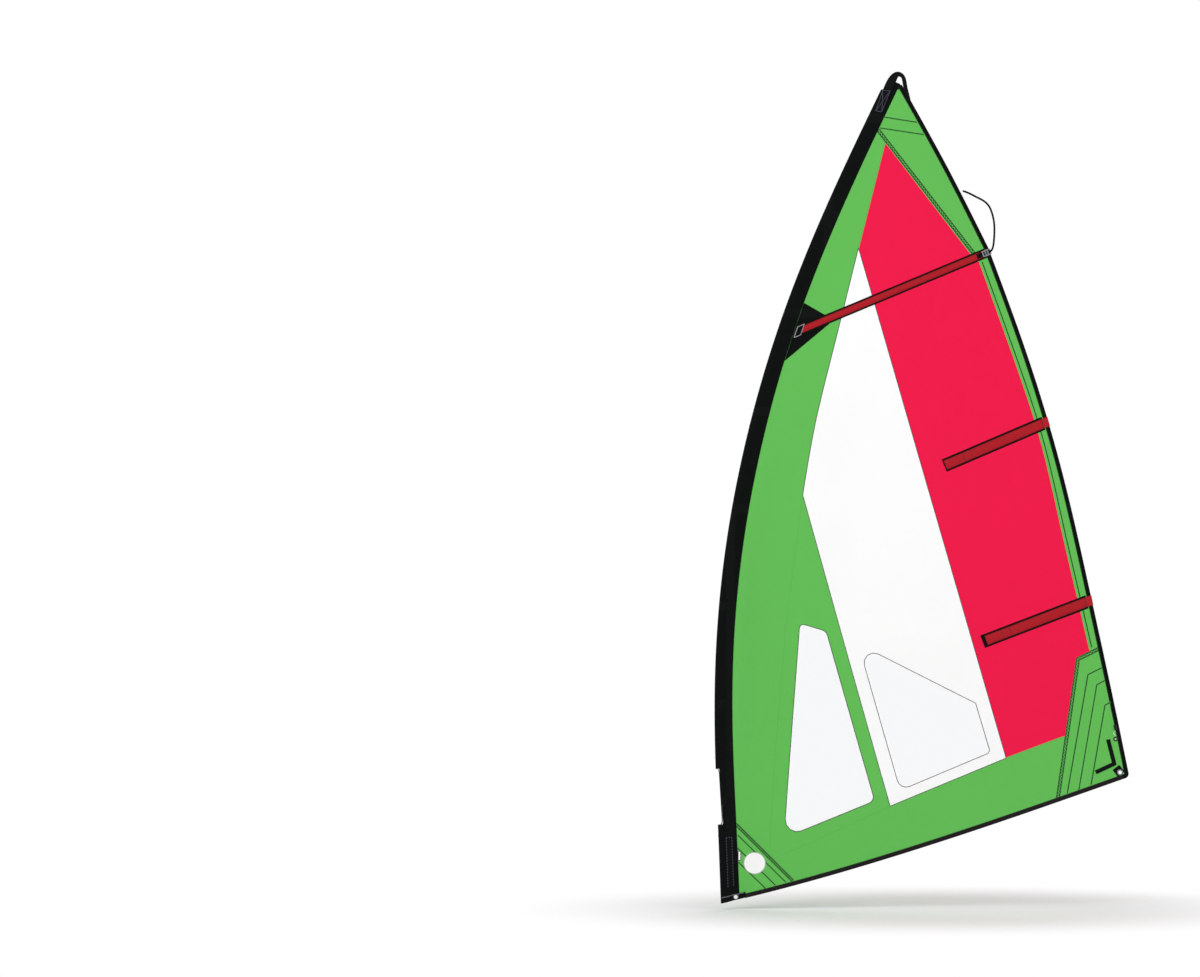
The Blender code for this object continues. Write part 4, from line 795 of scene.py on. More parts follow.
def apply_modifiers(piece):
    """Keeps a piece's shape as its modifiers leave it."""
    shaped = piece.evaluated_get(bpy.context.evaluated_depsgraph_get())
    mesh = bpy.data.meshes.new_from_object(shaped)
    piece.modifiers.clear()
    piece.data = mesh


def bevelled(piece, width):
    """Rounds the cut edges of a thick flat piece."""
    step = piece.modifiers.new("rounded edge", "BEVEL")
    step.width = width
    step.segments = 2
    step.limit_method = "ANGLE"
    step.angle_limit = math.radians(50)
    apply_modifiers(piece)
    return piece


def cloth_piece(name, loops, front, thick, finish, cell):
    """A layer of cloth inside an outline, following the belly, between two distances through it."""
    spots, triangles = fill(loops, cell)
    middle = belly(spots[:, 0], spots[:, 1])
    count = len(spots)
    front_points = np.column_stack((spots[:, 0], middle + front, spots[:, 1]))
    back_points = front_points + np.array((0.0, thick, 0.0))
    edges = {}
    for face in triangles.tolist():
        for pair in zip(face, face[1:] + face[:1]):
            edges[pair] = True
    rim = [(a, b) for a, b in edges if (b, a) not in edges]
    faces = triangles.tolist()
    faces += [[i + count for i in face[::-1]] for face in triangles.tolist()]
    faces += [[b, a, a + count, b + count] for a, b in rim]
    return add_piece(name, np.vstack((front_points, back_points)), faces, finish)


def cut_size(loop):
    """The sides of the narrowest rectangle round a loop."""
    sides = []
    for angle in np.radians(np.arange(0, 180, 3)):
        turn = np.array(((math.cos(angle), -math.sin(angle)), (math.sin(angle), math.cos(angle))))
        sides.append(np.ptp(np.array(loop) @ turn, axis=0).tolist())
    return min(sides, key=math.prod)


def declare_sheet(piece, loops, held_by):
    """States the size that a sheet of cloth was cut to."""
    area = area_of(loops[0]) - sum(area_of(hole) for hole in loops[1:])
    width, length = sorted(cut_size(loops[0]))
    if area < 0.31 * width * length:
        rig.sheet(piece, flat=(area / length, length), held="stretched", rests_on=held_by)
    else:
        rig.sheet(piece, flat=(width, length), held="stretched", rests_on=held_by, area=area)


def loft_faces(rings, count, start=0, closed=False):
    """The faces of a solid through rings of points, filled at both ends or joined round."""
    faces = []
    for ring in range(rings if closed else rings - 1):
        base, after = start + ring * count, start + (ring + 1) % rings * count
        for i in range(count):
            j = (i + 1) % count
            faces.append((base + i, base + j, after + j, after + i))
    if not closed:
        last = start + (rings - 1) * count
        faces.append(tuple(range(start + count - 1, start - 1, -1)))
        faces.append(tuple(range(last, last + count)))
    return faces


def loft(name, loops, finish, places=None, closed=False, smooth=40):
    points = [point for loop in loops for point in loop]
    faces = loft_faces(len(loops), len(loops[0]), closed=closed)
    return add_piece(name, points, faces, finish, places, smooth)


def ribbons(name, paths, width, side, level, finish, rise=STITCH_RISE):
    """Narrow strips of sewing along paths on the cloth, slightly raised; side is -1 in front, 1 behind."""
    points, faces, places = [], [], []
    half = width / 2
    section = ((-half, 0.0), (-half * 0.6, rise), (half * 0.6, rise), (half, 0.0))
    for path in paths:
        path = spread(path, ROW_STEP)
        start = len(points)
        for run, (spot, _, right) in zip(reach_along(path), path_frames(path)):
            for across, lift in section:
                x, z = spot - right * across
                points.append((x, float(belly(x, z)) + side * (level + lift), z))
                places.append((run, across))
        faces += loft_faces(len(path), len(section), start)
    return settle(add_piece(name, points, faces, finish, places, 70))


def sewn_row(name, stations, spot_at, half, finish, smooth=60):
    """A raised row of sewing through (run, where) stations; spot_at takes where, beside and rise."""
    loops, places = [], []
    for run, where in stations:
        loops.append([spot_at(where, half * share, rise) for share, rise in ROW_SECTION])
        places += [(run, half * share) for share, _ in ROW_SECTION]
    return settle(loft(name, loops, finish, places, smooth=smooth))


def teardrop_side(radius, nose, lip_start, width, lip, steps):
    """One side of a folded band, from its round nose to its lip, as (inward, through) points."""
    reach = math.hypot(lip_start - nose, lip)
    end = math.atan2(lip, lip_start - nose) + math.acos(radius / reach)
    arc = [(nose + radius * math.cos(a), radius * math.sin(a)) for a in span(math.pi, end, steps)]
    straight = [(arc[-1][0] + (lip_start - arc[-1][0]) * s, arc[-1][1] + (lip - arc[-1][1]) * s)
                for s in (0.25, 0.5, 0.75)]
    return [*arc, *straight, (lip_start, lip), ((lip_start + width) / 2, lip), (width, lip)]


def folded_section(nose, lip_start, width, thickness, steps, clear=CLOTH / 2 + GAP):
    """The closed outline of a band folded round an edge, open at its lips."""
    outer = teardrop_side(nose, nose, lip_start, width, clear + thickness, steps)
    inner = teardrop_side(nose - thickness, nose, lip_start, width, clear, steps)
    mirrored_inner = [(d, -y) for d, y in inner[1:]]
    mirrored_outer = [(d, -y) for d, y in outer[1:]]
    return outer + inner[::-1] + mirrored_inner + mirrored_outer[::-1]


def path_frames(path):
    """Each point of a path with its direction and the direction to the right of it."""
    path = np.array(path, float)
    frames = []
    for point, step in zip(path, np.gradient(path, axis=0)):
        ahead = unit(step)
        frames.append((point, ahead, np.array((ahead[1], -ahead[0]))))
    return frames


def placed(frame, section, skew=0.0):
    """A section's points at one frame of a path, leant along the path by the skew."""
    point, ahead, inward = frame
    loop = []
    for into, through in section:
        spot = point + inward * into + ahead * into * skew
        loop.append((spot[0], through, spot[1]))
    return loop


def tip_share(z):
    """How far into the sleeve's narrowing tip a height is."""
    return max(0.0, (z - SLEEVE_TOP + SLEEVE_TIP) / SLEEVE_TIP)


def sleeve_nose(z):
    taper = SLEEVE_NOSE_FOOT + (SLEEVE_NOSE_HEAD - SLEEVE_NOSE_FOOT) * z / SLEEVE_TOP
    return taper + (SLEEVE_NOSE_TIP - taper) * tip_share(z) ** 2


def sleeve_lip_start(z):
    reach = sleeve_width(z) - SLEEVE_LIP - MOUTH_LIP_START
    return MOUTH_LIP_START + reach * eased(min(1.0, z / MOUTH_LIP_RISE))


def sleeve_skew(z):
    """The mouth is cut along the foot, the end level, and the seams between them square to the luff."""
    front, aft, up = -0.02, 0.12, 0.05
    foot_slope = float(foot_z(aft) - foot_z(front)) / (aft - front)
    luff_slope = float(luff_x(up) - luff_x(0.0)) / up
    mouth = (foot_slope + luff_slope) * max(0.0, 1.0 - z / SLEEVE_JOINTS[0])
    return mouth + SLEEVE_END_SLANT * eased(tip_share(z))


def sleeve_frame(z):
    small = 0.002
    point = np.array((float(luff_x(z)), z))
    ahead = unit(np.array((float(luff_x(z + small) - luff_x(z - small)), 2 * small)))
    return point, ahead, np.array((ahead[1], -ahead[0]))


def sleeve_depth(z, inward):
    """Half the sleeve's thickness at a distance in from the luff."""
    side = teardrop_side(
        sleeve_nose(z), sleeve_nose(z), sleeve_lip_start(z), float(sleeve_width(z)),
        CLOTH / 2 + GAP + SLEEVE_CLOTH, 24,
    )
    return float(np.interp(inward, *np.array(side).T))


def sleeve_slack(z, inward, through):
    """How far slack in the sleeve's sides moves a point through the cloth."""
    width = float(sleeve_width(z))
    hold = max(0.0, math.sin(math.pi * min(1.0, inward / (width - SLEEVE_LIP)))) if inward > 0 else 0.0
    calm = min(1.0, *(abs(z - edge) / SLACK_FROM_CUTOUT for edge in CUTOUT_HEIGHTS), z / SLACK_FROM_FOOT)
    if CUTOUT_HEIGHTS[0] < z < CUTOUT_HEIGHTS[1]:
        calm = 0.0
    side = 1.0 if through > 0 else -1.0
    wave = noise.noise(Vector((inward * 9, z * 6.5, 4 * side)))
    return side * SLEEVE_SLACK * wave * hold * calm


def sleeve_loop(z, width=None, thickness=SLEEVE_CLOTH, extra=0.0, slack=True):
    """One ring of the sleeve; extra makes a ring that lies over it."""
    width = (width or float(sleeve_width(z))) + extra
    clear = CLOTH / 2 + GAP + (SLEEVE_CLOTH + extra - thickness if extra else 0.0)
    nose, lip_start = sleeve_nose(z) + extra, sleeve_lip_start(z) + extra
    section = folded_section(nose, lip_start, width, thickness, 13, clear)
    if slack:
        section = [(d, y + sleeve_slack(z, d, y)) for d, y in section]
    point, ahead, inward = sleeve_frame(z)
    return placed((point - inward * extra, ahead, inward), section, sleeve_skew(z))


def sleeve_strip(name, spots, lift, thickness, finish, columns=9):
    """A strip sewn on the sleeve's front side, from (height, front distance, aft distance) spots."""
    loops, places = [], []
    run = 0.0
    for number, (z, front, aft) in enumerate(spots):
        run += z - spots[number - 1][0] if number else 0.0
        low = [(d, -sleeve_depth(z, d) - lift) for d in span(front, aft, columns)]
        top = []
        for d, level in low:
            full = min(1.0, min(d - front, aft - d) / STRIP_ROUND)
            top.append((d, level - thickness * (1 + full) / 2))
        section = low + top[::-1]
        loops.append(placed(sleeve_frame(z), section, sleeve_skew(z)))
        places += [(run, d - (front + aft) / 2) for d, _ in section]
    return loft(name, loops, finish, places, smooth=50)


def over_sleeve(z, inward, lift):
    """A point in front of the sleeve, at a height, a distance in from the luff and a lift off it."""
    return placed(sleeve_frame(z), [(inward, -sleeve_depth(z, inward) - lift)], sleeve_skew(z))[0]


def pocket_frame(start, end):
    """Origin, direction along the pocket, direction across it upwards, and its length."""
    start, end = np.array(start), np.array(end)
    along = unit(end - start)
    return start, along, np.array((-along[1], along[0])), float(np.linalg.norm(end - start))


def at(frame, along, across):
    spot = frame[0] + frame[1] * along + frame[2] * across
    return (float(spot[0]), float(spot[1]))


def pocket_to_leech(start, towards):
    """The frame of a pocket that runs out to the leech's edge."""
    frame = pocket_frame(start, towards)
    near, far = 0.0, 2 * frame[3]
    for _ in range(40):
        middle = (near + far) / 2
        x, z = at(frame, middle, 0.0)
        near, far = (middle, far) if x < float(leech_x(z)) else (near, middle)
    return (*frame[:3], near)


def slant(frame, direction):
    """How far an edge in this direction runs along the pocket for each unit across it."""
    return float(direction @ frame[1]) / float(direction @ frame[2])


def leech_up(frame):
    z = at(frame, frame[3], 0.0)[1]
    return unit(np.array(leech_point(z + 0.02)) - np.array(leech_point(z - 0.02)))


def cover_level(along, across, width, floor, lift):
    """How far in front a pocket's cover lies: flat at its hems, rolled up between them."""
    inner = min(1.0, max(0.0, (width / 2 - POCKET_HEM - abs(across)) / POCKET_ROLL))
    roll = lift * math.sin(inner * math.pi / 2)
    wave = COVER_WAVE * noise.noise(Vector((along * 22, across * 30, floor * 900)))
    return floor + (POCKET_ROOM + wave) * roll


def raised_cover(name, frame, rows, width, floor, finish):
    """A pocket's cover: flat hems, and cloth that rolls up over the batten between them.

    Rows are (along, slant, raise), from the pocket's inner end to its mouth.
    """
    edge = width / 2
    columns = [-edge, -edge + 0.5 * POCKET_HEM]
    columns += [-edge + POCKET_HEM + POCKET_ROLL * s for s in (0.0, 0.15, 0.35, 0.6, 1.0)]
    columns += [-c for c in columns[::-1]] if columns[-1] < -0.002 else [-c for c in columns[-2::-1]]
    fine = []
    for start, end in zip(rows, rows[1:]):
        pieces = max(1, math.ceil((end[0] - start[0]) / ROW_STEP))
        for i in range(pieces):
            fine.append(tuple(a + (b - a) * i / pieces for a, b in zip(start, end)))
    fine.append(rows[-1])
    points = []
    for extra in (0.0, POCKET_CLOTH):
        for along, lean_over, lift in fine:
            for across in columns:
                x, z = at(frame, along + lean_over * across, across)
                points.append((x, -cover_level(along, across, width, floor, lift) - extra, z))
    lengths, wide = len(fine), len(columns)
    count = lengths * wide
    faces = []
    for layer in (0, 1):
        for row in range(lengths - 1):
            for column in range(wide - 1):
                base = layer * count + row * wide + column
                faces.append((base, base + 1, base + wide + 1, base + wide))
    rim = [(0, c) for c in range(wide)] + [(r, wide - 1) for r in range(1, lengths)]
    rim += [(lengths - 1, c) for c in range(wide - 2, -1, -1)] + [(r, 0) for r in range(lengths - 2, 0, -1)]
    for (r0, c0), (r1, c1) in zip(rim, rim[1:] + rim[:1]):
        here, after = r0 * wide + c0, r1 * wide + c1
        faces.append((here, after, after + count, here + count))
    return add_piece(name, points, faces, finish, smooth=50)


# Materials: groups that several finishes share, then the finishes


def new_group(name, inputs, outputs):
    """An empty node group with named sockets, and the sockets inside it that give and take its values."""
    group = bpy.data.node_groups.new(name, "ShaderNodeTree")
    for label, kind, value in inputs:
        socket = group.interface.new_socket(label, in_out="INPUT", socket_type="NodeSocket" + kind)
        if value is not None:
            socket.default_value = value
    for label, kind in outputs:
        group.interface.new_socket(label, in_out="OUTPUT", socket_type="NodeSocket" + kind)
    given = group.nodes.new("NodeGroupInput").outputs
    return group, given, group.nodes.new("NodeGroupOutput").inputs


def add_node(tree, kind, settings=(), **inputs):
    """A node with its settings made and its inputs set or linked, by socket name or number."""
    made = tree.nodes.new("ShaderNode" + kind)
    for key, value in dict(settings).items():
        setattr(made, key, value)
    for key, value in inputs.items():
        socket = made.inputs[int(key[1:])] if key[0] == "i" and key[1:].isdigit() else made.inputs[key]
        if isinstance(value, bpy.types.NodeSocket):
            tree.links.new(value, socket)
        else:
            socket.default_value = value
    return made


def calc(tree, operation, first, second=0.0, third=0.0):
    """A Math node's output."""
    made = add_node(tree, "Math", {"operation": operation}, i0=first, i1=second, i2=third)
    return made.outputs[0]


def mix_colour(tree, factor, first, second, blend="MIX"):
    """A colour Mix node's output."""
    settings = {"data_type": "RGBA", "blend_type": blend}
    return add_node(tree, "Mix", settings, i0=factor, i6=first, i7=second).outputs[2]


def make_weave_group():
    """Plain weave with a ripstop grid: the height of the threads, and where the thick threads run."""
    group, given, result = new_group(
        "plain_weave",
        (("Place", "Vector", None), ("Thread", "Float", 0.0007), ("Ripstop", "Float", 0.006)),
        (("Height", "Float"), ("Grid", "Float")),
    )
    split = add_node(group, "SeparateXYZ", Vector=given["Place"])
    turns = calc(group, "DIVIDE", 2 * math.pi, given["Thread"])
    warp = calc(group, "SINE", calc(group, "MULTIPLY", split.outputs["X"], turns))
    weft = calc(group, "SINE", calc(group, "MULTIPLY", split.outputs["Z"], turns))
    lines = []
    for axis in ("X", "Z"):
        share = calc(group, "FRACT", calc(group, "DIVIDE", split.outputs[axis], given["Ripstop"]))
        lines.append(calc(group, "LESS_THAN", share, 0.09))
    grid = calc(group, "MAXIMUM", lines[0], lines[1])
    group.links.new(calc(group, "ADD", calc(group, "MULTIPLY", warp, weft), grid), result["Height"])
    group.links.new(grid, result["Grid"])


def make_crumple_group():
    """Soft creases that resin-coated cloth keeps from being folded: their height."""
    group, given, result = new_group(
        "soft_creases", (("Place", "Vector", None), ("Size", "Float", 3.0)), (("Height", "Float"),)
    )
    broad = add_node(group, "TexNoise", Vector=given["Place"], Scale=given["Size"], Detail=2.0)
    creases = add_node(
        group, "TexVoronoi", {"feature": "DISTANCE_TO_EDGE"}, Vector=given["Place"],
        Scale=calc(group, "MULTIPLY", given["Size"], 1.7),
    )
    sharp = calc(group, "MINIMUM", calc(group, "MULTIPLY", creases.outputs["Distance"], 6.0), 1.0)
    height = calc(group, "MULTIPLY_ADD", sharp, 0.25, broad.outputs[0])
    group.links.new(height, result["Height"])


def make_drift_group():
    """A colour with slow unevenness over the surface and fine specks, as handled cloth has."""
    group, given, result = new_group(
        "uneven_colour",
        (("Colour", "Color", None), ("Place", "Vector", None), ("Amount", "Float", 0.06)),
        (("Colour", "Color"),),
    )
    slow = add_node(group, "TexNoise", Vector=given["Place"], Scale=2.3, Detail=3.0)
    fine = add_node(group, "TexNoise", Vector=given["Place"], Scale=160.0, Detail=2.0)
    both = calc(group, "MULTIPLY_ADD", fine.outputs[0], 0.35, slow.outputs[0])
    share = calc(group, "MULTIPLY", calc(group, "SUBTRACT", both, 0.45), given["Amount"])
    darker = calc(group, "SUBTRACT", 1.0, calc(group, "MAXIMUM", share, 0.0))
    shade = add_node(group, "CombineXYZ", X=darker, Y=darker, Z=darker)
    made = mix_colour(group, 1.0, given["Colour"], shade.outputs[0], "MULTIPLY")
    group.links.new(made, result["Colour"])


def make_stitch_group():
    """A row of sewing along a strip: where the thread runs, straight or in a zigzag."""
    group, given, result = new_group(
        "stitch_row",
        (
            ("Along", "Float", 0.0), ("Across", "Float", 0.0), ("Pitch", "Float", 0.005),
            ("Zigzag", "Float", 0.003), ("Thread", "Float", 0.0006), ("Sewn", "Float", 0.8),
        ),
        (("Mask", "Float"), ("Height", "Float")),
    )
    turn = calc(group, "FRACT", calc(group, "DIVIDE", given["Along"], given["Pitch"]))
    swing = calc(group, "ABSOLUTE", calc(group, "MULTIPLY_ADD", turn, 2.0, -1.0))
    line = calc(group, "MULTIPLY", calc(group, "SUBTRACT", swing, 0.5), given["Zigzag"])
    off = calc(group, "ABSOLUTE", calc(group, "SUBTRACT", given["Across"], line))
    near = calc(group, "SUBTRACT", 1.0, calc(group, "DIVIDE", off, given["Thread"]))
    round_thread = calc(group, "SQRT", calc(group, "MAXIMUM", near, 0.0))
    sewn = calc(group, "LESS_THAN", turn, given["Sewn"])
    height = calc(group, "MULTIPLY", round_thread, sewn)
    group.links.new(calc(group, "GREATER_THAN", height, 0.02), result["Mask"])
    group.links.new(height, result["Height"])


def make_rib_group():
    """The ribs of woven webbing: their height along and across the band."""
    group, given, result = new_group(
        "webbing_ribs",
        (("Along", "Float", 0.0), ("Across", "Float", 0.0), ("Rib", "Float", 0.0022)),
        (("Height", "Float"),),
    )
    turns = calc(group, "DIVIDE", 2 * math.pi, given["Rib"])
    side = calc(group, "ABSOLUTE", given["Across"])
    slope = calc(group, "ADD", given["Along"], side)
    chevron = calc(group, "SINE", calc(group, "MULTIPLY", slope, turns))
    cords = calc(group, "SINE", calc(group, "MULTIPLY", calc(group, "MULTIPLY", side, turns), 1.6))
    group.links.new(calc(group, "MULTIPLY_ADD", cords, 0.5, chevron), result["Height"])


def make_grain_group():
    """The fine grain of moulded or brushed parts: its height and how dull it is."""
    group, given, result = new_group(
        "fine_grain",
        (("Place", "Vector", None), ("Size", "Float", 900.0), ("Stretch", "Vector", (1.0, 1.0, 1.0))),
        (("Height", "Float"), ("Dullness", "Float")),
    )
    settings = {"operation": "MULTIPLY"}
    drawn = add_node(group, "VectorMath", settings, i0=given["Place"], i1=given["Stretch"])
    grain = add_node(group, "TexNoise", Vector=drawn.outputs[0], Scale=given["Size"], Detail=3.0)
    blotch = add_node(group, "TexNoise", Vector=given["Place"], Scale=70.0, Detail=2.0)
    group.links.new(grain.outputs[0], result["Height"])
    group.links.new(blotch.outputs[0], result["Dullness"])


class Finish:
    """A material with its shader and the sockets that most finishes start from."""

    def __init__(self, name, **constants):
        self.material = bpy.data.materials.new(name)
        self.material.use_nodes = True
        self.tree = self.material.node_tree
        self.shader = self.tree.nodes["Principled BSDF"]
        self.place = self.tree.nodes.new("ShaderNodeTexCoord").outputs["Object"]
        for key, value in constants.items():
            self.shader.inputs[key.replace("_", " ")].default_value = value

    def link(self, output, key):
        self.tree.links.new(output, self.shader.inputs[key])

    def group(self, name, **inputs):
        """A shared group in this material, with its own values."""
        return add_node(self.tree, "Group", {"node_tree": bpy.data.node_groups[name]}, **inputs)

    def tinted(self, amount, share, colour, tint):
        """A colour with some of a tint over it, as much as a group's output says."""
        return mix_colour(self.tree, calc(self.tree, "MULTIPLY", amount, share), colour, tint)

    def paint(self, colour, amount=0.06):
        uneven = self.group("uneven_colour", Colour=colour, Place=self.place, Amount=amount)
        self.link(uneven.outputs["Colour"], "Base Color")

    def dull(self, grain, amount, least):
        """Roughness that follows the blotches of a grain."""
        rough = calc(self.tree, "MULTIPLY_ADD", grain.outputs["Dullness"], amount, least)
        self.link(rough, "Roughness")

    def sewing(self):
        """The (along, across) place on a strip, in metres."""
        sewn = self.tree.nodes.new("ShaderNodeUVMap")
        sewn.uv_map = "sewing"
        return add_node(self.tree, "SeparateXYZ", Vector=sewn.outputs[0]).outputs[:2]

    def relief(self, *layers):
        """Bumps from the heights of (group, distance, strength) layers, the broad ones first."""
        under = {}
        for group, distance, strength in layers:
            height = group.outputs["Height"]
            bump = add_node(self.tree, "Bump", Height=height, Distance=distance, Strength=strength, **under)
            under = {"Normal": bump.outputs["Normal"]}
        self.link(under["Normal"], "Normal")


def sailcloth(name, colour):
    """Resin-coated woven polyester: fine weave, ripstop grid, soft creases and a low gloss."""
    made = Finish(name, Roughness=0.5, Specular_IOR_Level=0.12, Coat_Weight=0.03, Coat_Roughness=0.35)
    weave = made.group("plain_weave", Place=made.place, Thread=0.0008, Ripstop=0.007)
    creases = made.group("soft_creases", Place=made.place, Size=3.2)
    made.paint(made.tinted(weave.outputs["Grid"], 0.05, colour, linear(0, 0, 0)), 0.05)
    made.relief((creases, 0.006, 0.35), (weave, 0.00006, 0.6))


def woven_black(name, colour, thread=0.0011):
    """Uncoated woven polyester of the sleeve and tapes."""
    made = Finish(name, Roughness=0.78, Specular_IOR_Level=0.04)
    weave = made.group("plain_weave", Place=made.place, Thread=thread, Ripstop=0.5)
    creases = made.group("soft_creases", Place=made.place, Size=7.0)
    made.paint(made.tinted(weave.outputs["Height"], 0.02, colour, (0.12, 0.12, 0.12, 1)), 0.25)
    made.relief((creases, 0.004, 0.4), (weave, 0.00012, 0.8))


def stitched(name, cloth, thread, pitch=0.0055, zigzag=0.0026, width=0.0007, sewn=1.0):
    """A strip of sewing: the cloth's colour with a row of thread on it."""
    made = Finish(name, Roughness=0.6, Specular_IOR_Level=0.12)
    along, across = made.sewing()
    shape = {"Pitch": pitch, "Zigzag": zigzag, "Thread": width, "Sewn": sewn}
    row = made.group("stitch_row", Along=along, Across=across, **shape)
    made.paint(mix_colour(made.tree, row.outputs["Mask"], cloth, thread))
    made.relief((row, 0.0003, 0.9))


def webbing(name, colour):
    """Flat woven webbing with a chevron rib."""
    made = Finish(name, Roughness=0.7, Specular_IOR_Level=0.06)
    along, across = made.sewing()
    ribs = made.group("webbing_ribs", Along=along, Across=across, Rib=0.0024)
    made.paint(made.tinted(ribs.outputs["Height"], 0.03, colour, (0.15, 0.15, 0.15, 1)), 0.2)
    made.relief((ribs, 0.0002, 0.8))


def window_film(name, colour):
    """Clear polyester film, slightly cool, with faint handling waves."""
    made = Finish(name, Base_Color=colour, Transmission_Weight=1.0, IOR=1.45, Specular_IOR_Level=0.5)
    made.dull(made.group("fine_grain", Place=made.place, Size=600.0), 0.05, 0.02)
    made.relief((made.group("soft_creases", Place=made.place, Size=5.0), 0.002, 0.25))


def moulded(name, colour, roughness):
    """Moulded plastic with a fine spark-eroded grain."""
    made = Finish(name)
    grain = made.group("fine_grain", Place=made.place, Size=1400.0)
    made.dull(grain, 0.15, roughness - 0.07)
    made.paint(colour, 0.1)
    made.relief((grain, 0.00008, 0.5))


def pressed_steel(name, colour):
    """Pressed stainless steel, brushed and a little scuffed."""
    made = Finish(name, Metallic=1.0)
    grain = made.group("fine_grain", Place=made.place, Size=500.0, Stretch=(1.0, 1.0, 7.0))
    made.dull(grain, 0.22, 0.18)
    made.paint(colour, 0.08)
    made.relief((grain, 0.00004, 0.4))


def glass_fibre(name, colour):
    """Pultruded glass fibre: pale, with streaks along the batten."""
    made = Finish(name, Roughness=0.35, Coat_Weight=0.3, Coat_Roughness=0.15)
    grain = made.group("fine_grain", Place=made.place, Size=300.0, Stretch=(0.15, 1.0, 1.4))
    made.paint(mix_colour(made.tree, grain.outputs["Height"], colour, (0.62, 0.60, 0.48, 1)), 0.08)
    made.relief((grain, 0.00005, 0.4))


def braided(name, colour):
    """A thin braided line."""
    made = Finish(name, Roughness=0.65, Sheen_Weight=0.1)
    weave = made.group("plain_weave", Place=made.place, Thread=0.0009, Ripstop=0.0022)
    made.paint(made.tinted(weave.outputs["Grid"], 0.2, colour, (0.5, 0.5, 0.5, 1)), 0.1)
    made.relief((weave, 0.0001, 0.9))


def ribbed_elastic(name, colour):
    """Covered elastic: fine ribs across the band."""
    made = Finish(name, Roughness=0.8)
    weave = made.group("plain_weave", Place=made.place, Thread=0.0016, Ripstop=0.5)
    made.paint(colour, 0.15)
    made.relief((weave, 0.0002, 0.8))


def linear(red, green, blue):
    """A colour written as it looks, from 0 to 255, as the shader's linear values."""
    channels = []
    for value in (red, green, blue):
        share = value / 255
        channels.append(share / 12.92 if share <= 0.04045 else ((share + 0.055) / 1.055) ** 2.4)
    return (*channels, 1.0)


def colour_setting(label, text, *rgb):
    return bpy.props.FloatVectorProperty(
        name=label, description=text, subtype="COLOR", size=4, min=0.0, max=1.0, default=linear(*rgb)
    )


def number_setting(label, text, default, **limits):
    return bpy.props.FloatProperty(name=label, description=text, default=default, **limits)


class ClothSettings(bpy.types.PropertyGroup):
    """Colours of the cloth and thread, and how finely the cloth is modelled."""

    green: colour_setting("Green", "Colour of the green panels", 98, 189, 85)
    red: colour_setting("Red", "Colour of the red panel", 240, 14, 71)
    white: colour_setting("White", "Colour of the white panel and window tape", 254, 254, 254)
    sleeve_black: colour_setting("Sleeve", "Colour of the luff sleeve and leech tape", 11, 15, 13)
    foot_black: colour_setting("Foot tape", "Colour of the foot tape", 35, 31, 32)
    pocket_red: colour_setting("Pockets", "Colour of the batten pockets", 172, 20, 33)
    flap_red: colour_setting("Flaps", "Colour of the pockets' flaps", 176, 22, 34)
    dark_thread: colour_setting("Dark thread", "Colour of the sewing on green cloth", 36, 72, 42)
    outline_thread: colour_setting("Outline thread", "Colour of the sewing round white cloth", 40, 40, 44)
    pale_thread: colour_setting("Pale thread", "Colour of the sewing on black webbing", 120, 120, 128)
    violet_thread: colour_setting("Violet thread", "Colour of the sewing on the sleeve", 84, 82, 104)
    box_thread: colour_setting("Box thread", "Colour of the sewing round the nose pocket", 186, 186, 192)
    film: colour_setting("Film", "Tint of the windows' film", 246, 247, 249)
    cell: number_setting("Cell", "Size of the cloth's triangles", 0.028, min=0.01, unit="LENGTH")
    fine_cell: number_setting("Fine cell", "Size of small pieces' triangles", 0.012, min=0.005, unit="LENGTH")


class StageSettings(bpy.types.PropertyGroup):
    """Camera, lights and floor."""

    camera_x: number_setting("Camera X", "How far along X the camera stands", -0.646, unit="LENGTH")
    camera_height: number_setting("Camera height", "Height of the camera", 2.126, unit="LENGTH")
    view_width: number_setting("View width", "Width of the view at the sail", 6.147, unit="LENGTH")
    lens: number_setting("Lens", "Focal length in millimetres", 200.0)
    ambient: number_setting("Ambient", "Strength of the even light from all round", 0.54)
    key_power: number_setting("Key light", "Power of the large lamp at the upper left", 480.0, unit="POWER")
    fill_power: number_setting("Fill light", "Power of the lamps at right and behind", 175.0, unit="POWER")
    floor_drop: number_setting("Floor drop", "How far the floor lies below the sail", 0.03, unit="LENGTH")


class SAIL_OT_stage(bpy.types.Operator):
    """Make the floor, the light and the camera"""

    bl_idname = "sail.stage"
    bl_label = "Stage"

    def execute(self, context):
        settings = context.scene.sail_stage
        context.scene.view_settings.view_transform = "Standard"
        make_world(context.scene, settings)
        make_floor(settings)
        make_lamps(settings)
        make_camera(context.scene, settings)
        return {"FINISHED"}


def white_rays(tree):
    """One where a ray comes from the camera, a reflection or a clear window, otherwise zero."""
    path = tree.nodes.new("ShaderNodeLightPath")
    shiny = calc(tree, "MAXIMUM", path.outputs["Is Glossy Ray"], path.outputs["Is Transmission Ray"])
    return calc(tree, "MAXIMUM", path.outputs["Is Camera Ray"], shiny)


def make_world(scene, settings):
    world = bpy.data.worlds.new("pale_room")
    world.use_nodes = True
    scene.world = world
    tree = world.node_tree
    back = tree.nodes["Background"].inputs
    back["Color"].default_value = WHITE
    tree.links.new(calc(tree, "MAXIMUM", white_rays(tree), settings.ambient), back["Strength"])


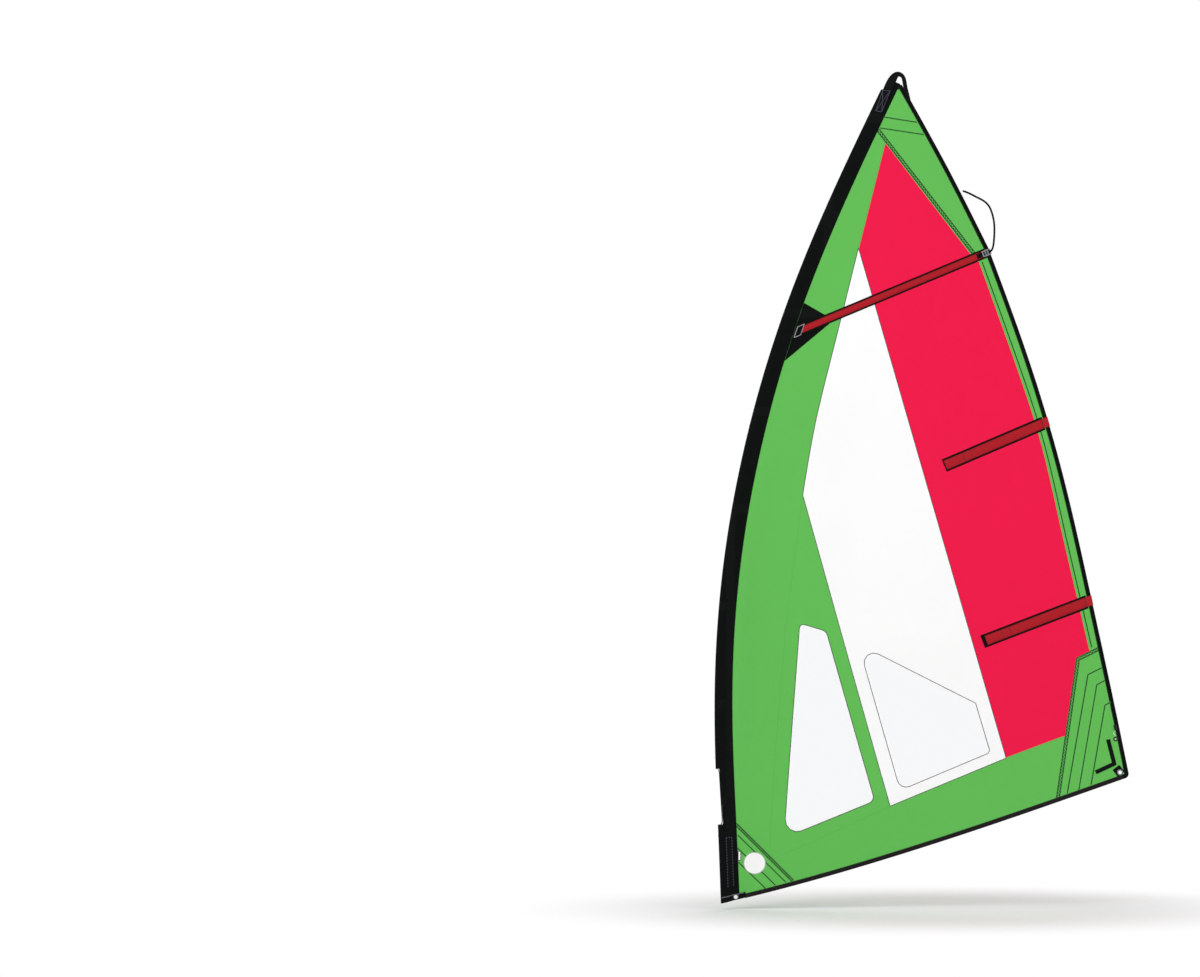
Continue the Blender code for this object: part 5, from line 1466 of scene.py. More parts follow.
def make_floor(settings):
    """A pale floor that keeps the sail's shadow and fades to white further off."""
    mesh = bpy.data.meshes.new("floor")
    work = bmesh.new()
    bmesh.ops.create_circle(work, cap_ends=True, segments=96, radius=FLOOR_RADIUS)
    work.to_mesh(mesh)
    work.free()
    floor = add_object("floor", mesh)
    floor.location = (1.0, 0.0, CAD_BOX[0].z - settings.floor_drop)
    made = Finish("pale_floor", Base_Color=(0.98, 0.98, 0.98, 1.0), Roughness=0.9, Specular_IOR_Level=0.0)
    tree = made.tree
    away = add_node(tree, "VectorMath", {"operation": "LENGTH"}, i0=made.place).outputs["Value"]
    fade = add_node(tree, "MapRange", {"interpolation_type": "SMOOTHSTEP"}, Value=away)
    for key, value in zip(("From Min", "From Max"), FLOOR_FADE):
        fade.inputs[key].default_value = value
    glow = add_node(tree, "Emission", Color=WHITE, Strength=1.0)
    share = calc(tree, "MULTIPLY", fade.outputs["Result"], white_rays(tree))
    mixed = add_node(tree, "MixShader", i0=share, i1=made.shader.outputs[0], i2=glow.outputs[0])
    tree.links.new(mixed.outputs[0], tree.nodes["Material Output"].inputs["Surface"])
    mesh.materials.append(made.material)
    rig.stage(floor)


def make_lamps(settings):
    for name, spot, size, power in (
        ("key_lamp", (-5.0, -9.0, 7.0), 6.0, settings.key_power),
        ("fill_lamp", (8.0, -8.0, 3.0), 6.0, settings.fill_power),
        ("rim_lamp", (3.0, 9.0, 6.0), 5.0, settings.fill_power),
    ):
        data = bpy.data.lights.new(name, "AREA")
        data.size = size
        data.energy = power
        lamp = add_object(name, data)
        lamp.location = spot
        lamp.rotation_euler = (Vector(LAMP_AIM) - Vector(spot)).to_track_quat("-Z", "Y").to_euler()


def make_camera(scene, settings):
    data = bpy.data.cameras.new("camera")
    data.sensor_width = CAMERA_SENSOR
    data.lens = settings.lens
    distance = settings.view_width * data.lens / data.sensor_width
    data.clip_end = 4 * distance
    camera = add_object("camera", data)
    camera.location = (settings.camera_x, -distance, settings.camera_height)
    camera.rotation_euler = (math.radians(90), 0.0, 0.0)
    scene.camera = camera


class SAIL_OT_finishes(bpy.types.Operator):
    """Make the shared groups and the material of each finish"""

    bl_idname = "sail.finishes"
    bl_label = "Finishes"

    def execute(self, context):
        cloth = context.scene.sail_cloth
        for make_group in (
            make_weave_group, make_crumple_group, make_drift_group, make_stitch_group, make_rib_group,
            make_grain_group,
        ):
            make_group()
        for colour in ("green", "red", "white"):
            sailcloth(colour + "_sailcloth", getattr(cloth, colour))
        for piece in ("pocket", "flap"):
            sailcloth(piece + "_sailcloth", getattr(cloth, piece + "_red"))
        woven_black("sleeve_weave", cloth.sleeve_black)
        woven_black("tape_weave", cloth.sleeve_black, 0.0009)
        woven_black("foot_tape_weave", cloth.foot_black, 0.0009)
        stitched("sewing_dark_on_green", cloth.green, cloth.dark_thread, 0.005, 0.0012, 0.0029)
        stitched("sewing_zigzag_on_green", cloth.green, cloth.dark_thread, 0.017, 0.0110, 0.0027)
        stitched("sewing_zigzag_at_tack", cloth.green, cloth.dark_thread, 0.012, 0.0090, 0.0022)
        stitched("sewing_outline", cloth.outline_thread, cloth.pale_thread, 0.004, 0.0, 0.0003, 0.6)
        quiet_green = [channel * 0.86 for channel in cloth.green[:3]]
        stitched("sewing_green", cloth.green, (*quiet_green, 1.0))
        stitched("sewing_on_band", cloth.sleeve_black, cloth.pale_thread, 0.012, 0.0, 0.0018, 0.92)
        stitched("sewing_box", cloth.sleeve_black, cloth.box_thread, 0.0036, 0.0012, 0.0015)
        stitched("sewing_violet", cloth.sleeve_black, cloth.violet_thread, 0.004, 0.0, 0.0011, 0.9)
        stitched("sewing_dotted", cloth.sleeve_black, cloth.violet_thread, 0.0147, 0.0, 0.0018, 0.45)
        stitched("sewing_pale_edge", cloth.white, cloth.pale_thread, 0.004, 0.0, 0.0012, 0.9)
        stitched("sewing_black", cloth.sleeve_black, linear(52, 56, 54), 0.006, 0.0024, 0.0006)
        stitched("sewing_on_pocket", cloth.pocket_red, linear(130, 22, 30), 0.004, 0.0, 0.0008, 0.7)
        stitched("sewing_across_pocket", cloth.pocket_red, cloth.outline_thread, 0.004, 0.0, 0.0016, 0.8)
        webbing("black_webbing", cloth.sleeve_black)
        window_film("clear_film", cloth.film)
        moulded("grey_moulding", linear(128, 130, 134), 0.42)
        moulded("black_moulding", linear(12, 12, 13), 0.55)
        pressed_steel("ring_steel", linear(112, 112, 118))
        glass_fibre("batten_glass_fibre", linear(225, 222, 206))
        ribbed_elastic("black_elastic", linear(40, 40, 42))
        braided("white_braid", cloth.white)
        return {"FINISHED"}


class SAIL_OT_cords(bpy.types.Operator):
    """Make the tensioner's strap and the leech line with its tail"""

    bl_idname = "sail.cords"
    bl_label = "Strap and leech line"

    def execute(self, context):
        make_strap()
        make_leech_line()
        return {"FINISHED"}


def smooth_route(route, count):
    """Evenly spread points on one smooth curve through a route, which starts with a place in space."""
    reach = reach_along([station[:3] for station in route])
    axes = [smooth_curve(list(zip(reach, values))) for values in zip(*route)]
    return [tuple(float(axis(s)) for axis in axes) for s in span(0.0, reach[-1], count)]


def make_strap():
    """Flat webbing, up through the buckle's outer slot, over its end bar and round to the leech."""
    _, along, across, length = pocket_frame(*TOP_POCKET)
    frame = (np.array(TOP_POCKET[1]), along, across, length)
    route = [(*at(frame, STRAP_SLOT + reach, 0.0), level) for reach, level in STRAP_THREAD]
    drop = STRAP_LEVEL - STRAP_TIP_LEVEL
    route += [(x, z, STRAP_LEVEL - drop * share) for x, z, share in STRAP_ARCH]
    points = smooth_route(route, STRAP_POINTS)
    frames = path_frames([point[:2] for point in points])
    loops, places, line = [], [], []
    for i, (run, (spot, _, side)) in enumerate(zip(reach_along(points), frames)):
        level = points[i][2]
        half = STRAP_WIDTH / 2 * (1.0 - STRAP_TIP_TAPER * max(0, i - STRAP_POINTS + 3))
        loop = []
        for share, rise in STRAP_SECTION:
            edge = spot + side * half * share
            loop.append((edge[0], -level - rise * STRAP_THICK, edge[1]))
            places.append((run, half * share))
        loops.append(loop)
        line.append((spot[0], -level - STRAP_THICK / 2, spot[1]))
    strap = loft("tension_strap", loops, "black_webbing", places, smooth=60)
    settle(strap, "tension_strap_tail", body=BUCKLE_BODY)
    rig.cord(
        strap, exit=line[0], length=reach_along(line)[-1], diameter=STRAP_WIDTH, far_end="bare",
        stiffness="stiff", lay="loose", path=line,
    )


def leech_path():
    """The sail's edge from the head down the leech and round the clew corner."""
    path = []
    for high, low in (
        (LEECH_ABOVE_KINK[-1][0], KINK + KINK_ROOM), (KINK - KINK_ROOM, CLEW_CORNER_HEIGHT + LEECH_END_ROOM),
    ):
        heights = span(high, low, math.ceil((high - low) / LEECH_STEP))
        if path:
            heights = [KINK + KINK_ROOM / 2, KINK, KINK - KINK_ROOM / 2, *heights]
        path += [leech_point(z) for z in heights]
    above, below = (np.array(leech_point(CLEW_CORNER_HEIGHT + rise)) for rise in CORNER_RISES)
    front, aft = (np.array(foot_point(x)) for x in CORNER_REACHES)
    hit = geometry.intersect_line_line(*(Vector((x, 0.0, z)) for x, z in (above, below, aft, front)))
    corner = np.array((hit[0].x, hit[0].z))
    back, ahead = unit(above - corner), unit(front - corner)
    half = math.acos(float(back @ ahead)) / 2
    centre = corner + unit(back + ahead) * CLEW_CORNER_RADIUS / math.sin(half)
    start = corner + back * CLEW_CORNER_RADIUS / math.tan(half) - centre
    end = corner + ahead * CLEW_CORNER_RADIUS / math.tan(half) - centre
    turn = math.atan2(start[0] * end[1] - start[1] * end[0], float(start @ end))
    for angle in span(0.0, turn, CLEW_CORNER_POINTS - 2):
        spin = np.array(((math.cos(angle), -math.sin(angle)), (math.sin(angle), math.cos(angle))))
        path.append(tuple(map(float, centre + spin @ start)))
    x = path[-1][0]
    return [*path, foot_point(x - CORNER_END_STEP), foot_point(x - 2 * CORNER_END_STEP)]


def round_line(name, route, finish):
    """A thin round line along a route, as a curve with filled ends."""
    data = bpy.data.curves.new(name, "CURVE")
    data.dimensions = "3D"
    data.bevel_depth = LINE_RADIUS
    data.bevel_resolution = 3
    data.use_fill_caps = True
    spline = data.splines.new("POLY")
    spline.points.add(len(route) - 1)
    for point, spot in zip(spline.points, route):
        point.co = (*spot, 1.0)
    data.materials.append(bpy.data.materials[finish])
    return add_object(name, data)


def make_leech_line():
    """The line inside the leech tape, and its short tail between the eyelet and the cleat."""
    frames = path_frames(leech_path())
    inner = [spot + inward * LINE_INSET for spot, _, inward in frames[1 : -CLEW_CORNER_POINTS - 2]]
    line = round_line("leech_line_braid", [(x, 0.0, z) for x, z in inner], "white_braid")
    settle(line, "leech_line")
    outside = -front_level(2) + GAP
    start, end = np.array(LINE_ENDS)
    route = []
    for share in span(0.0, 1.0, 33):
        x, z = start + (end - start) * share
        route.append((x - LINE_BOW * math.sin(math.pi * share), -(outside + LINE_LIFT), z))
    tail = round_line("leech_line_end", route, "white_braid")
    settle(tail, "leech_line_tail")
    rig.cord(
        tail, exit=route[0], length=reach_along(route)[-1], diameter=2 * LINE_RADIUS, far_end="object",
        stiffness="limp", lay="loose",
    )
    x, z = LINE_EYELET
    coil = []
    for angle in np.radians(span(0, 720, 48)):
        lift = KNOT_RADIUS + KNOT_RISE / 2 * math.sin(2 * angle)
        spot = (x + KNOT_RADIUS * math.cos(angle), z + KNOT_RADIUS * math.sin(angle))
        coil.append((spot[0], -(outside + lift), spot[1]))
    settle(round_line("leech_line_knot", coil, "white_braid"))


class SAIL_OT_panels(bpy.types.Operator):
    """Make the sail's sewn panels"""

    bl_idname = "sail.panels"
    bl_label = "Panels"

    def execute(self, context):
        cell = context.scene.sail_cloth.cell
        finishes = dict.fromkeys(GREEN_NODES, "green_sailcloth")
        finishes.update(red_panel="red_sailcloth", white_panel="white_sailcloth")
        for node, finish in finishes.items():
            loops = loops_of(node)
            loops = [grown(loops[0], SEAM_CLOSE), *loops[1:]]
            piece = cloth_piece(node + "_cloth", loops, -CLOTH / 2, CLOTH * 0.9, finish, cell)
            settle(piece, node)
            declare_sheet(piece, loops, ["luff_sleeve_middle", "leech_tape"])
        return {"FINISHED"}


class SAIL_OT_windows(bpy.types.Operator):
    """Make the clear windows and the tape round them"""

    bl_idname = "sail.windows"
    bl_label = "Windows"

    def execute(self, context):
        cell = context.scene.sail_cloth.cell
        for node, panel in (("front_window", "front_window_panel"), ("rear_window", "white_panel")):
            loops = loops_of(node)
            film = cloth_piece(node + "_film", loops, CLOTH / 2 + GAP, PATCH, "clear_film", cell)
            settle(film, node)
            declare_sheet(film, loops, [panel])
            loops = loops_of(node + "_tape")
            tape = cloth_piece(node + "_border", loops, front_level(1), PATCH, "white_sailcloth", cell)
            settle(tape, node + "_tape")
            outline = [*loops[0], loops[0][0]]
            ribbons(node + "_outline", [outline], WINDOW_ROW, -1, -front_level(1), "sewing_outline")
        return {"FINISHED"}


class SAIL_OT_patches(bpy.types.Operator):
    """Make the corner patches, the label and the round marker"""

    bl_idname = "sail.patches"
    bl_label = "Patches"

    def execute(self, context):
        cloth = context.scene.sail_cloth
        for node, layer in FRONT_PATCHES.items():
            self.add(node, front_level(layer), "green_sailcloth", cloth.cell)
        for node, layer in BACK_PATCHES.items():
            self.add(node, -front_level(layer) - PATCH, "green_sailcloth", cloth.cell)
        self.add("batten_nose_patch", front_level(1), "tape_weave", cloth.cell)
        for node in ("sail_disc", "care_label"):
            self.add(node, front_level(3), "white_sailcloth", cloth.fine_cell)
        edges = (("care_label", 0.0, "sewing_outline"), ("sail_disc", 0.0012, "sewing_pale_edge"))
        for node, inset, finish in edges:
            loop = grown(loops_of(node)[0], -inset)
            ribbons(node + "_edge", [[*loop, loop[0]]], LABEL_ROW, -1, -front_level(3), finish)
        loops = [grown(loops_of("head_gusset")[0], HEAD_TUCK)]
        front, thick = -CLOTH / 2 - STITCH_RISE, CLOTH + STITCH_RISE
        gusset = cloth_piece("head_gusset_cloth", loops, front, thick, "sleeve_weave", cloth.fine_cell)
        settle(gusset, "head_gusset")
        declare_sheet(gusset, loops, ["luff_sleeve_upper"])
        return {"FINISHED"}

    def add(self, node, front, finish, cell):
        loops = loops_of(node)
        piece = cloth_piece(node + "_cloth", loops, front, PATCH, finish, cell)
        settle(piece, node)
        declare_sheet(piece, loops, ["luff_panel", "clew_panel", "head_panel"])


class SAIL_OT_sewing(bpy.types.Operator):
    """Sew the seams and the rows of stitching"""

    bl_idname = "sail.sewing"
    bl_label = "Sewing"

    def execute(self, context):
        sew_panel_seams()
        sew_corner_rows()
        return {"FINISHED"}


def curve_path(curve, low, high):
    return [(float(curve(z)), z) for z in span(low, high, 24)]


def sew_panel_seams():
    """Rows of sewing along the panels' joints, in front and behind."""
    level = CLOTH / 2
    luff_curve = curve_path(luff_panel_x, WHITE_FRONT[1], WHITE_TOP[1])
    white = [luff_curve, [WHITE_FRONT, WHITE_FOOT], [WHITE_FOOT, RED_FOOT], [RED_FOOT, WHITE_TOP]]
    green = [
        [WHITE_FRONT, *WINDOW_PANEL_FRONT, WINDOW_PANEL_FOOT],
        [FOOT_SEAM_LUFF, WINDOW_PANEL_FOOT, WHITE_FOOT],
        [RED_FOOT, RED_FOOT_AFT],
        [WHITE_TOP, RED_TOP],
    ]
    strip = curve_path(strip_x, STRIP_FOOT, STRIP_CURVE[-1][0])
    red = [[RED_TOP, HEAD_SEAM_LEECH], [*strip, HEAD_SEAM_LEECH]]
    for side, place in ((-1, "front"), (1, "back")):
        ribbons("white_seams_" + place, white, OUTLINE_ROW, side, level, "sewing_outline")
        ribbons("green_seams_" + place, green, SEAM_ROW, side, level, "sewing_green")
        ribbons("red_seams_" + place, red, SEAM_ROW, side, level, "sewing_green")
    ribbons("clew_seam_back", [CLEW_LINES[0]], SEAM_ROW, 1, level, "sewing_green")


def sew_corner_rows():
    """Dark rows on the corner patches, the head seam and the leech strip."""
    strip = curve_path(strip_x, STRIP_ROW_FOOT, STRIP_CURVE[-1][0] - STRIP_ROW_DROP)
    on_panel = [moved_aside(strip, STRIP_ROW_ASIDE)]
    between = []
    for path, step, shift in (
        ((HEAD_SEAM_LUFF, HEAD_SEAM_LEECH), 0.05, HEAD_SEAM_ASIDE),
        (CLEW_LINES[0], 0.02, CLEW_SEAM_ASIDE),
    ):
        path = spread(path, step)
        on_panel += [moved_aside(path, shift + beside) for beside in DOUBLE_ROWS]
        between.append(moved_aside(path, shift))
    tack = spread(TACK_LINES[0], 0.02)
    for name, paths, layer, finish in (
        ("seam_zigzags", between, 0, "sewing_zigzag_on_green"),
        ("tack_zigzag", [moved_aside(tack, TACK_BAND)], 1, "sewing_zigzag_at_tack"),
    ):
        level = -front_level(layer) - FACE_GAP
        ribbons(name, paths, ZIGZAG_ROW, -1, level, finish, LOW_RISE)
    clew = [moved_aside(spread(line, 0.02), CLEW_ROWS_ASIDE) for line in CLEW_LINES[1:]]
    head = [moved_aside(line, HEAD_ROWS_ASIDE) for line in HEAD_LINES]
    for name, paths, layer in (
        ("seam_rows", on_panel, 0),
        ("tack_rows_doubled", [moved_aside(tack, TACK_BAND + beside) for beside in TACK_BAND_ROWS], 1),
        ("clew_row_large", clew[:1], 1),
        ("clew_row_middle", clew[1:2], 1),
        ("clew_row_small", clew[2:], 2),
        ("tack_row_middle", [TACK_LINES[1]], 1),
        ("tack_row_small", [moved_aside(TACK_LINES[2], TACK_ROW_ASIDE), TACK_LINES[3]], 2),
        ("head_row_large", head[:1], 1),
        ("head_row_small", head[1:], 2),
    ):
        ribbons(name, paths, DARK_ROW, -1, -front_level(layer), "sewing_dark_on_green")


class SAIL_OT_sleeve(bpy.types.Operator):
    """Make the luff sleeve with its boom cut-out and its mouth"""

    bl_idname = "sail.sleeve"
    bl_label = "Luff sleeve"

    def execute(self, context):
        make_sleeve()
        make_mouth_band()
        make_cutout_edging()
        make_sleeve_webbing()
        return {"FINISHED"}


def cutter(name, outline, depth):
    """A hidden block through the cloth, for cutting a hole."""
    loops = [[(x, y, z) for x, z in outline] for y in (-depth, depth)]
    block = loft(name, loops, "sleeve_weave")
    block.hide_render = True
    return block


def cut(piece, block):
    step = piece.modifiers.new("cut", "BOOLEAN")
    step.operation = "DIFFERENCE"
    step.solver = "EXACT"
    step.object = block
    apply_modifiers(piece)
    bpy.data.objects.remove(block)
    smooth_shade(piece.data, 35)


def cutout_outline():
    """The boom cut-out's outline, round at its two aft corners and open in front of the luff."""
    low, high = CUTOUT_HEIGHTS
    radius = CUTOUT_CORNER
    outline = [(CUTOUT_FRONT, low)]
    for centre_x, centre_z, start in (
        (CUTOUT_EDGE[0] - radius, low + radius, -90), (CUTOUT_EDGE[1] - radius, high - radius, 0),
    ):
        for angle in np.radians(span(start, start + 90, 8)):
            outline.append((centre_x + radius * math.cos(angle), centre_z + radius * math.sin(angle)))
    return [*outline, (CUTOUT_FRONT, high)]


def make_sleeve():
    """One length of cloth folded round the mast, with overlapping rings where its parts join."""
    low = MOUTH_BAND_HEIGHT + SEAM_CLOSE
    rings = [sleeve_loop(z) for z in span(low, SLEEVE_TOP, 184)]
    sleeve = loft("luff_sleeve", rings, "sleeve_weave", smooth=35)
    cut(sleeve, cutter("boom_cutout_block", cutout_outline(), 0.06))
    parts = ["luff_sleeve_lower", "boom_cutout_panel", "luff_sleeve_middle", "luff_sleeve_upper"]
    settle(sleeve, *parts)
    for number, joint in enumerate(SLEEVE_JOINTS):
        heights = span(joint - JOINT_HALF, joint + JOINT_HALF, 4)
        rings = [sleeve_loop(z, thickness=JOINT_CLOTH, extra=JOINT_LIFT, slack=False) for z in heights]
        band = loft("sleeve_joint_" + str(number + 1), rings, "tape_weave", smooth=35)
        settle(band, slot="sleeve_cloth")


def make_mouth_band():
    """The doubled band round the sleeve's mouth, open for the tack ring."""
    heights = (0.0, 0.0012, 0.010, 0.020, MOUTH_BAND_HEIGHT - 0.0013, MOUTH_BAND_HEIGHT - SEAM_CLOSE)
    rings = [sleeve_loop(z, MOUTH_BAND_WIDTH, slack=False) for z in heights]
    band = loft("mouth_band", rings, "tape_weave", smooth=35)
    outline = []
    for angle in np.radians(span(0, 348.75, 32)):
        outline.append((TACK_RING[0] + RING_CUT * math.cos(angle), TACK_RING[1] + RING_CUT * math.sin(angle)))
    cut(band, cutter("tack_ring_block", outline, 0.01))
    settle(band, "sleeve_mouth_band")
    z = MOUTH_BAND_HEIGHT - MOUTH_ROW_DROP

    def spot_at(inward, beside, rise):
        depth = sleeve_depth(z, inward) if inward < MOUTH_LIP_START else CLOTH / 2 + GAP + SLEEVE_CLOTH
        spot = placed(sleeve_frame(z), [(inward, -depth - FACE_GAP - rise)], sleeve_skew(z))[0]
        return (spot[0], spot[1], spot[2] + beside)

    stations = [(number * 0.0048, inward) for number, inward in enumerate(span(*MOUTH_ROW_ENDS, 26))]
    sewn_row("mouth_band_row", stations, spot_at, MOUTH_ROW_HALF, "sewing_on_band", smooth=40)


def make_cutout_edging():
    """A rolled edge round the boom cut-out."""
    clear = EDGING_RADIUS + EDGING_CLEAR
    low, high = CUTOUT_HEIGHTS
    side = []
    for z in span(low + EDGING_CORNER, high - EDGING_CORNER, 24):
        share = (z - low) / (high - low)
        side.append((CUTOUT_EDGE[0] + (CUTOUT_EDGE[1] - CUTOUT_EDGE[0]) * share - clear, z))

    def half_depth(x, z):
        return sleeve_depth(z, (x - float(luff_x(z))) / float(lean(luff_x, z))) - SLEEVE_CLOTH / 2

    def nose_arc(z, from_x):
        nose = sleeve_nose(z)
        reach = nose - SLEEVE_CLOTH / 2
        middle = float(luff_x(z)) + nose
        start = math.acos(max(-1.0, min(1.0, (from_x - middle) / reach)))
        turns = span(start, 2 * math.pi - start, 26)
        return [(middle + reach * math.cos(a), -reach * math.sin(a), z) for a in turns]

    route = [(x, -half_depth(x, z), z) for x, z in side]
    route += nose_arc(high - clear, side[-1][0] - EDGING_CORNER * EDGING_CORNER_REACH)
    route += [(x, half_depth(x, z), z) for x, z in reversed(side)]
    route += nose_arc(low + clear, side[0][0] - EDGING_CORNER * EDGING_CORNER_REACH)[::-1]
    route = np.array(route)
    for _ in range(2):
        route = (np.roll(route, 1, axis=0) + 2 * route + np.roll(route, -1, axis=0)) / 4
    centre = route.mean(axis=0)
    ring = [2 * math.pi * i / 10 for i in range(10)]
    loops = []
    for spot, step in zip(route, np.roll(route, -1, axis=0) - np.roll(route, 1, axis=0)):
        step = unit(step)
        out = unit(np.cross(step, np.cross(spot - centre, step)))
        over = np.cross(step, out)
        loops.append([tuple(spot + EDGING_RADIUS * (math.cos(a) * out + math.sin(a) * over)) for a in ring])
    piece = loft("cutout_edging", loops, "tape_weave", closed=True, smooth=70)
    settle(piece, "cutout_piping")


def make_sleeve_webbing():
    """The webbing sewn on the sleeve at the tack, with its dotted rows of sewing."""
    top = SLEEVE_JOINTS[0] - TACK_WEBBING_DROP
    front, aft = TACK_WEBBING
    spots = [(z, front, aft) for z in span(TACK_WEBBING_FOOT, top, 30)]
    band = sleeve_strip("tack_webbing_band", spots, TACK_WEBBING_LIFT, TACK_WEBBING_THICK, "black_webbing")
    settle(band, "tack_webbing")
    wide, margin = TACK_ROW_WIDTH, TACK_ROW_MARGIN
    heights = span(TACK_WEBBING_FOOT + TACK_ROW_RISE, top - margin, 30)
    for edge, begin in (("front", front + margin), ("aft", aft - margin - wide)):
        spots = [(z, begin, begin + wide) for z in heights]
        name = "tack_webbing_row_" + edge
        settle(sleeve_strip(name, spots, TACK_ROW_LIFT, STITCH_RISE, "sewing_dotted", 3))
    level = top - margin - wide / 2
    begin = front + margin
    stations = [(inward - begin, inward) for inward in span(begin, aft - margin, 26)]

    def spot_at(inward, beside, rise):
        return over_sleeve(level + beside, inward, TACK_ROW_LIFT + rise)

    sewn_row("tack_webbing_row_top", stations, spot_at, wide / 2, "sewing_dotted")


class SAIL_OT_edge_tapes(bpy.types.Operator):
    """Make the tapes folded over the leech and the foot"""

    bl_idname = "sail.edge_tapes"
    bl_label = "Edge tapes"

    def execute(self, context):
        section = folded_section(LEECH_NOSE, LEECH_LIP_START, TAPE_WIDTH, TAPE_CLOTH, 7)
        frames = path_frames(leech_path())
        tape = loft("leech_tape_fold", [placed(frame, section) for frame in frames], "tape_weave", smooth=35)
        settle(tape, "leech_tape")
        start = leech_path()[-1][0] - FOOT_TAPE_GAP
        path = [foot_point(x) for x in span(start, FOOT_TAPE_START, 78)]
        section = folded_section(FOOT_NOSE, FOOT_LIP_START, TAPE_WIDTH, TAPE_CLOTH, 5)
        upright = float(lean(foot_z, FOOT_TAPE_START) ** 2 - 1) ** 0.5
        loops = []
        for number, frame in enumerate(path_frames(path)):
            lean_over = upright * max(0.0, 1 - (len(path) - 1 - number) / 3)
            loops.append(placed(frame, section, -lean_over))
        settle(loft("foot_tape_fold", loops, "foot_tape_weave", smooth=35), "foot_tape")
        level = CLOTH / 2 + GAP + TAPE_CLOTH
        rows = []
        for sewn in (frames[:-CLEW_CORNER_POINTS], path_frames(path)[2:-2]):
            rows.append([tuple(spot + inward * (TAPE_WIDTH - TAPE_ROW_INSET)) for spot, _, inward in sewn])
        for side, place in ((-1, "front"), (1, "back")):
            ribbons("tape_rows_" + place, rows, OUTLINE_ROW, side, level, "sewing_black")
        return {"FINISHED"}


class SAIL_OT_pockets(bpy.types.Operator):
    """Make the batten pockets, their backing, flaps and elastics"""

    bl_idname = "sail.pockets"
    bl_label = "Batten pockets"

    def execute(self, context):
        make_top_pocket()
        for label, (start, end, band) in LEECH_POCKETS.items():
            make_leech_pocket(label, start, end, band)
        return {"FINISHED"}


def flat_piece(node, name, front, thick, finish, round_edge=0.0002, cell=0.02, room=0.0):
    """A flat piece that takes its outline from its node, grown by some room."""
    loops = loops_of(node)
    piece = cloth_piece(name, [grown(loops[0], room), *loops[1:]], front, thick, finish, cell)
    bevelled(piece, round_edge)
    smooth_shade(piece.data, 40)
    return settle(piece, node)


def make_backing(node, name, frame, layer):
    """The tape under a pocket, a little wider than its node where it shows as an edging."""
    loop = []
    for spot in loops_of(node)[0]:
        side = float((np.array(spot) - frame[0]) @ frame[2])
        loop.append(tuple(np.array(spot) + frame[2] * math.copysign(BACKING_ROOM, side)))
    piece = cloth_piece(name, [loop], front_level(layer), PATCH, "tape_weave", 0.02)
    settle(piece, node)


def with_places(piece, frame):
    """Gives a flat piece its (along, across) places on a frame, for ribs and sewing."""
    layer = piece.data.uv_layers.new(name="sewing")
    for loop in piece.data.loops:
        spot = piece.data.vertices[loop.vertex_index].co
        offset = np.array((spot.x, spot.z)) - frame[0]
        layer.data[loop.index].uv = (float(offset @ frame[1]), float(offset @ frame[2]))
    return piece


def pocket_rows(name, frame, paths, level, finish, width=0.0018):
    """Rows of sewing on a pocket, from (along, across) paths."""
    spots = [[at(frame, along, across) for along, across in path] for path in paths]
    ribbons(name, spots, width, -1, level, finish, LOW_RISE)


def cross_rows(name, frame, crossings, width, floor, finish, half=0.0015):
    """Rows of sewing over a pocket's cover, from (along, slant) crossings."""
    reach = width / 2 - 0.0012
    stations = [(across + reach, across) for across in span(-reach, reach, 31)]
    for number, (along, lean_over) in enumerate(crossings):

        def spot_at(across, beside, rise, along=along, lean_over=lean_over):
            level = cover_level(along, across, width, floor, 1.0) + POCKET_CLOTH
            x, z = at(frame, along + lean_over * across + beside, across)
            return (x, -level - rise, z)

        sewn_row(name + "_" + str(number + 1), stations, spot_at, half, finish)


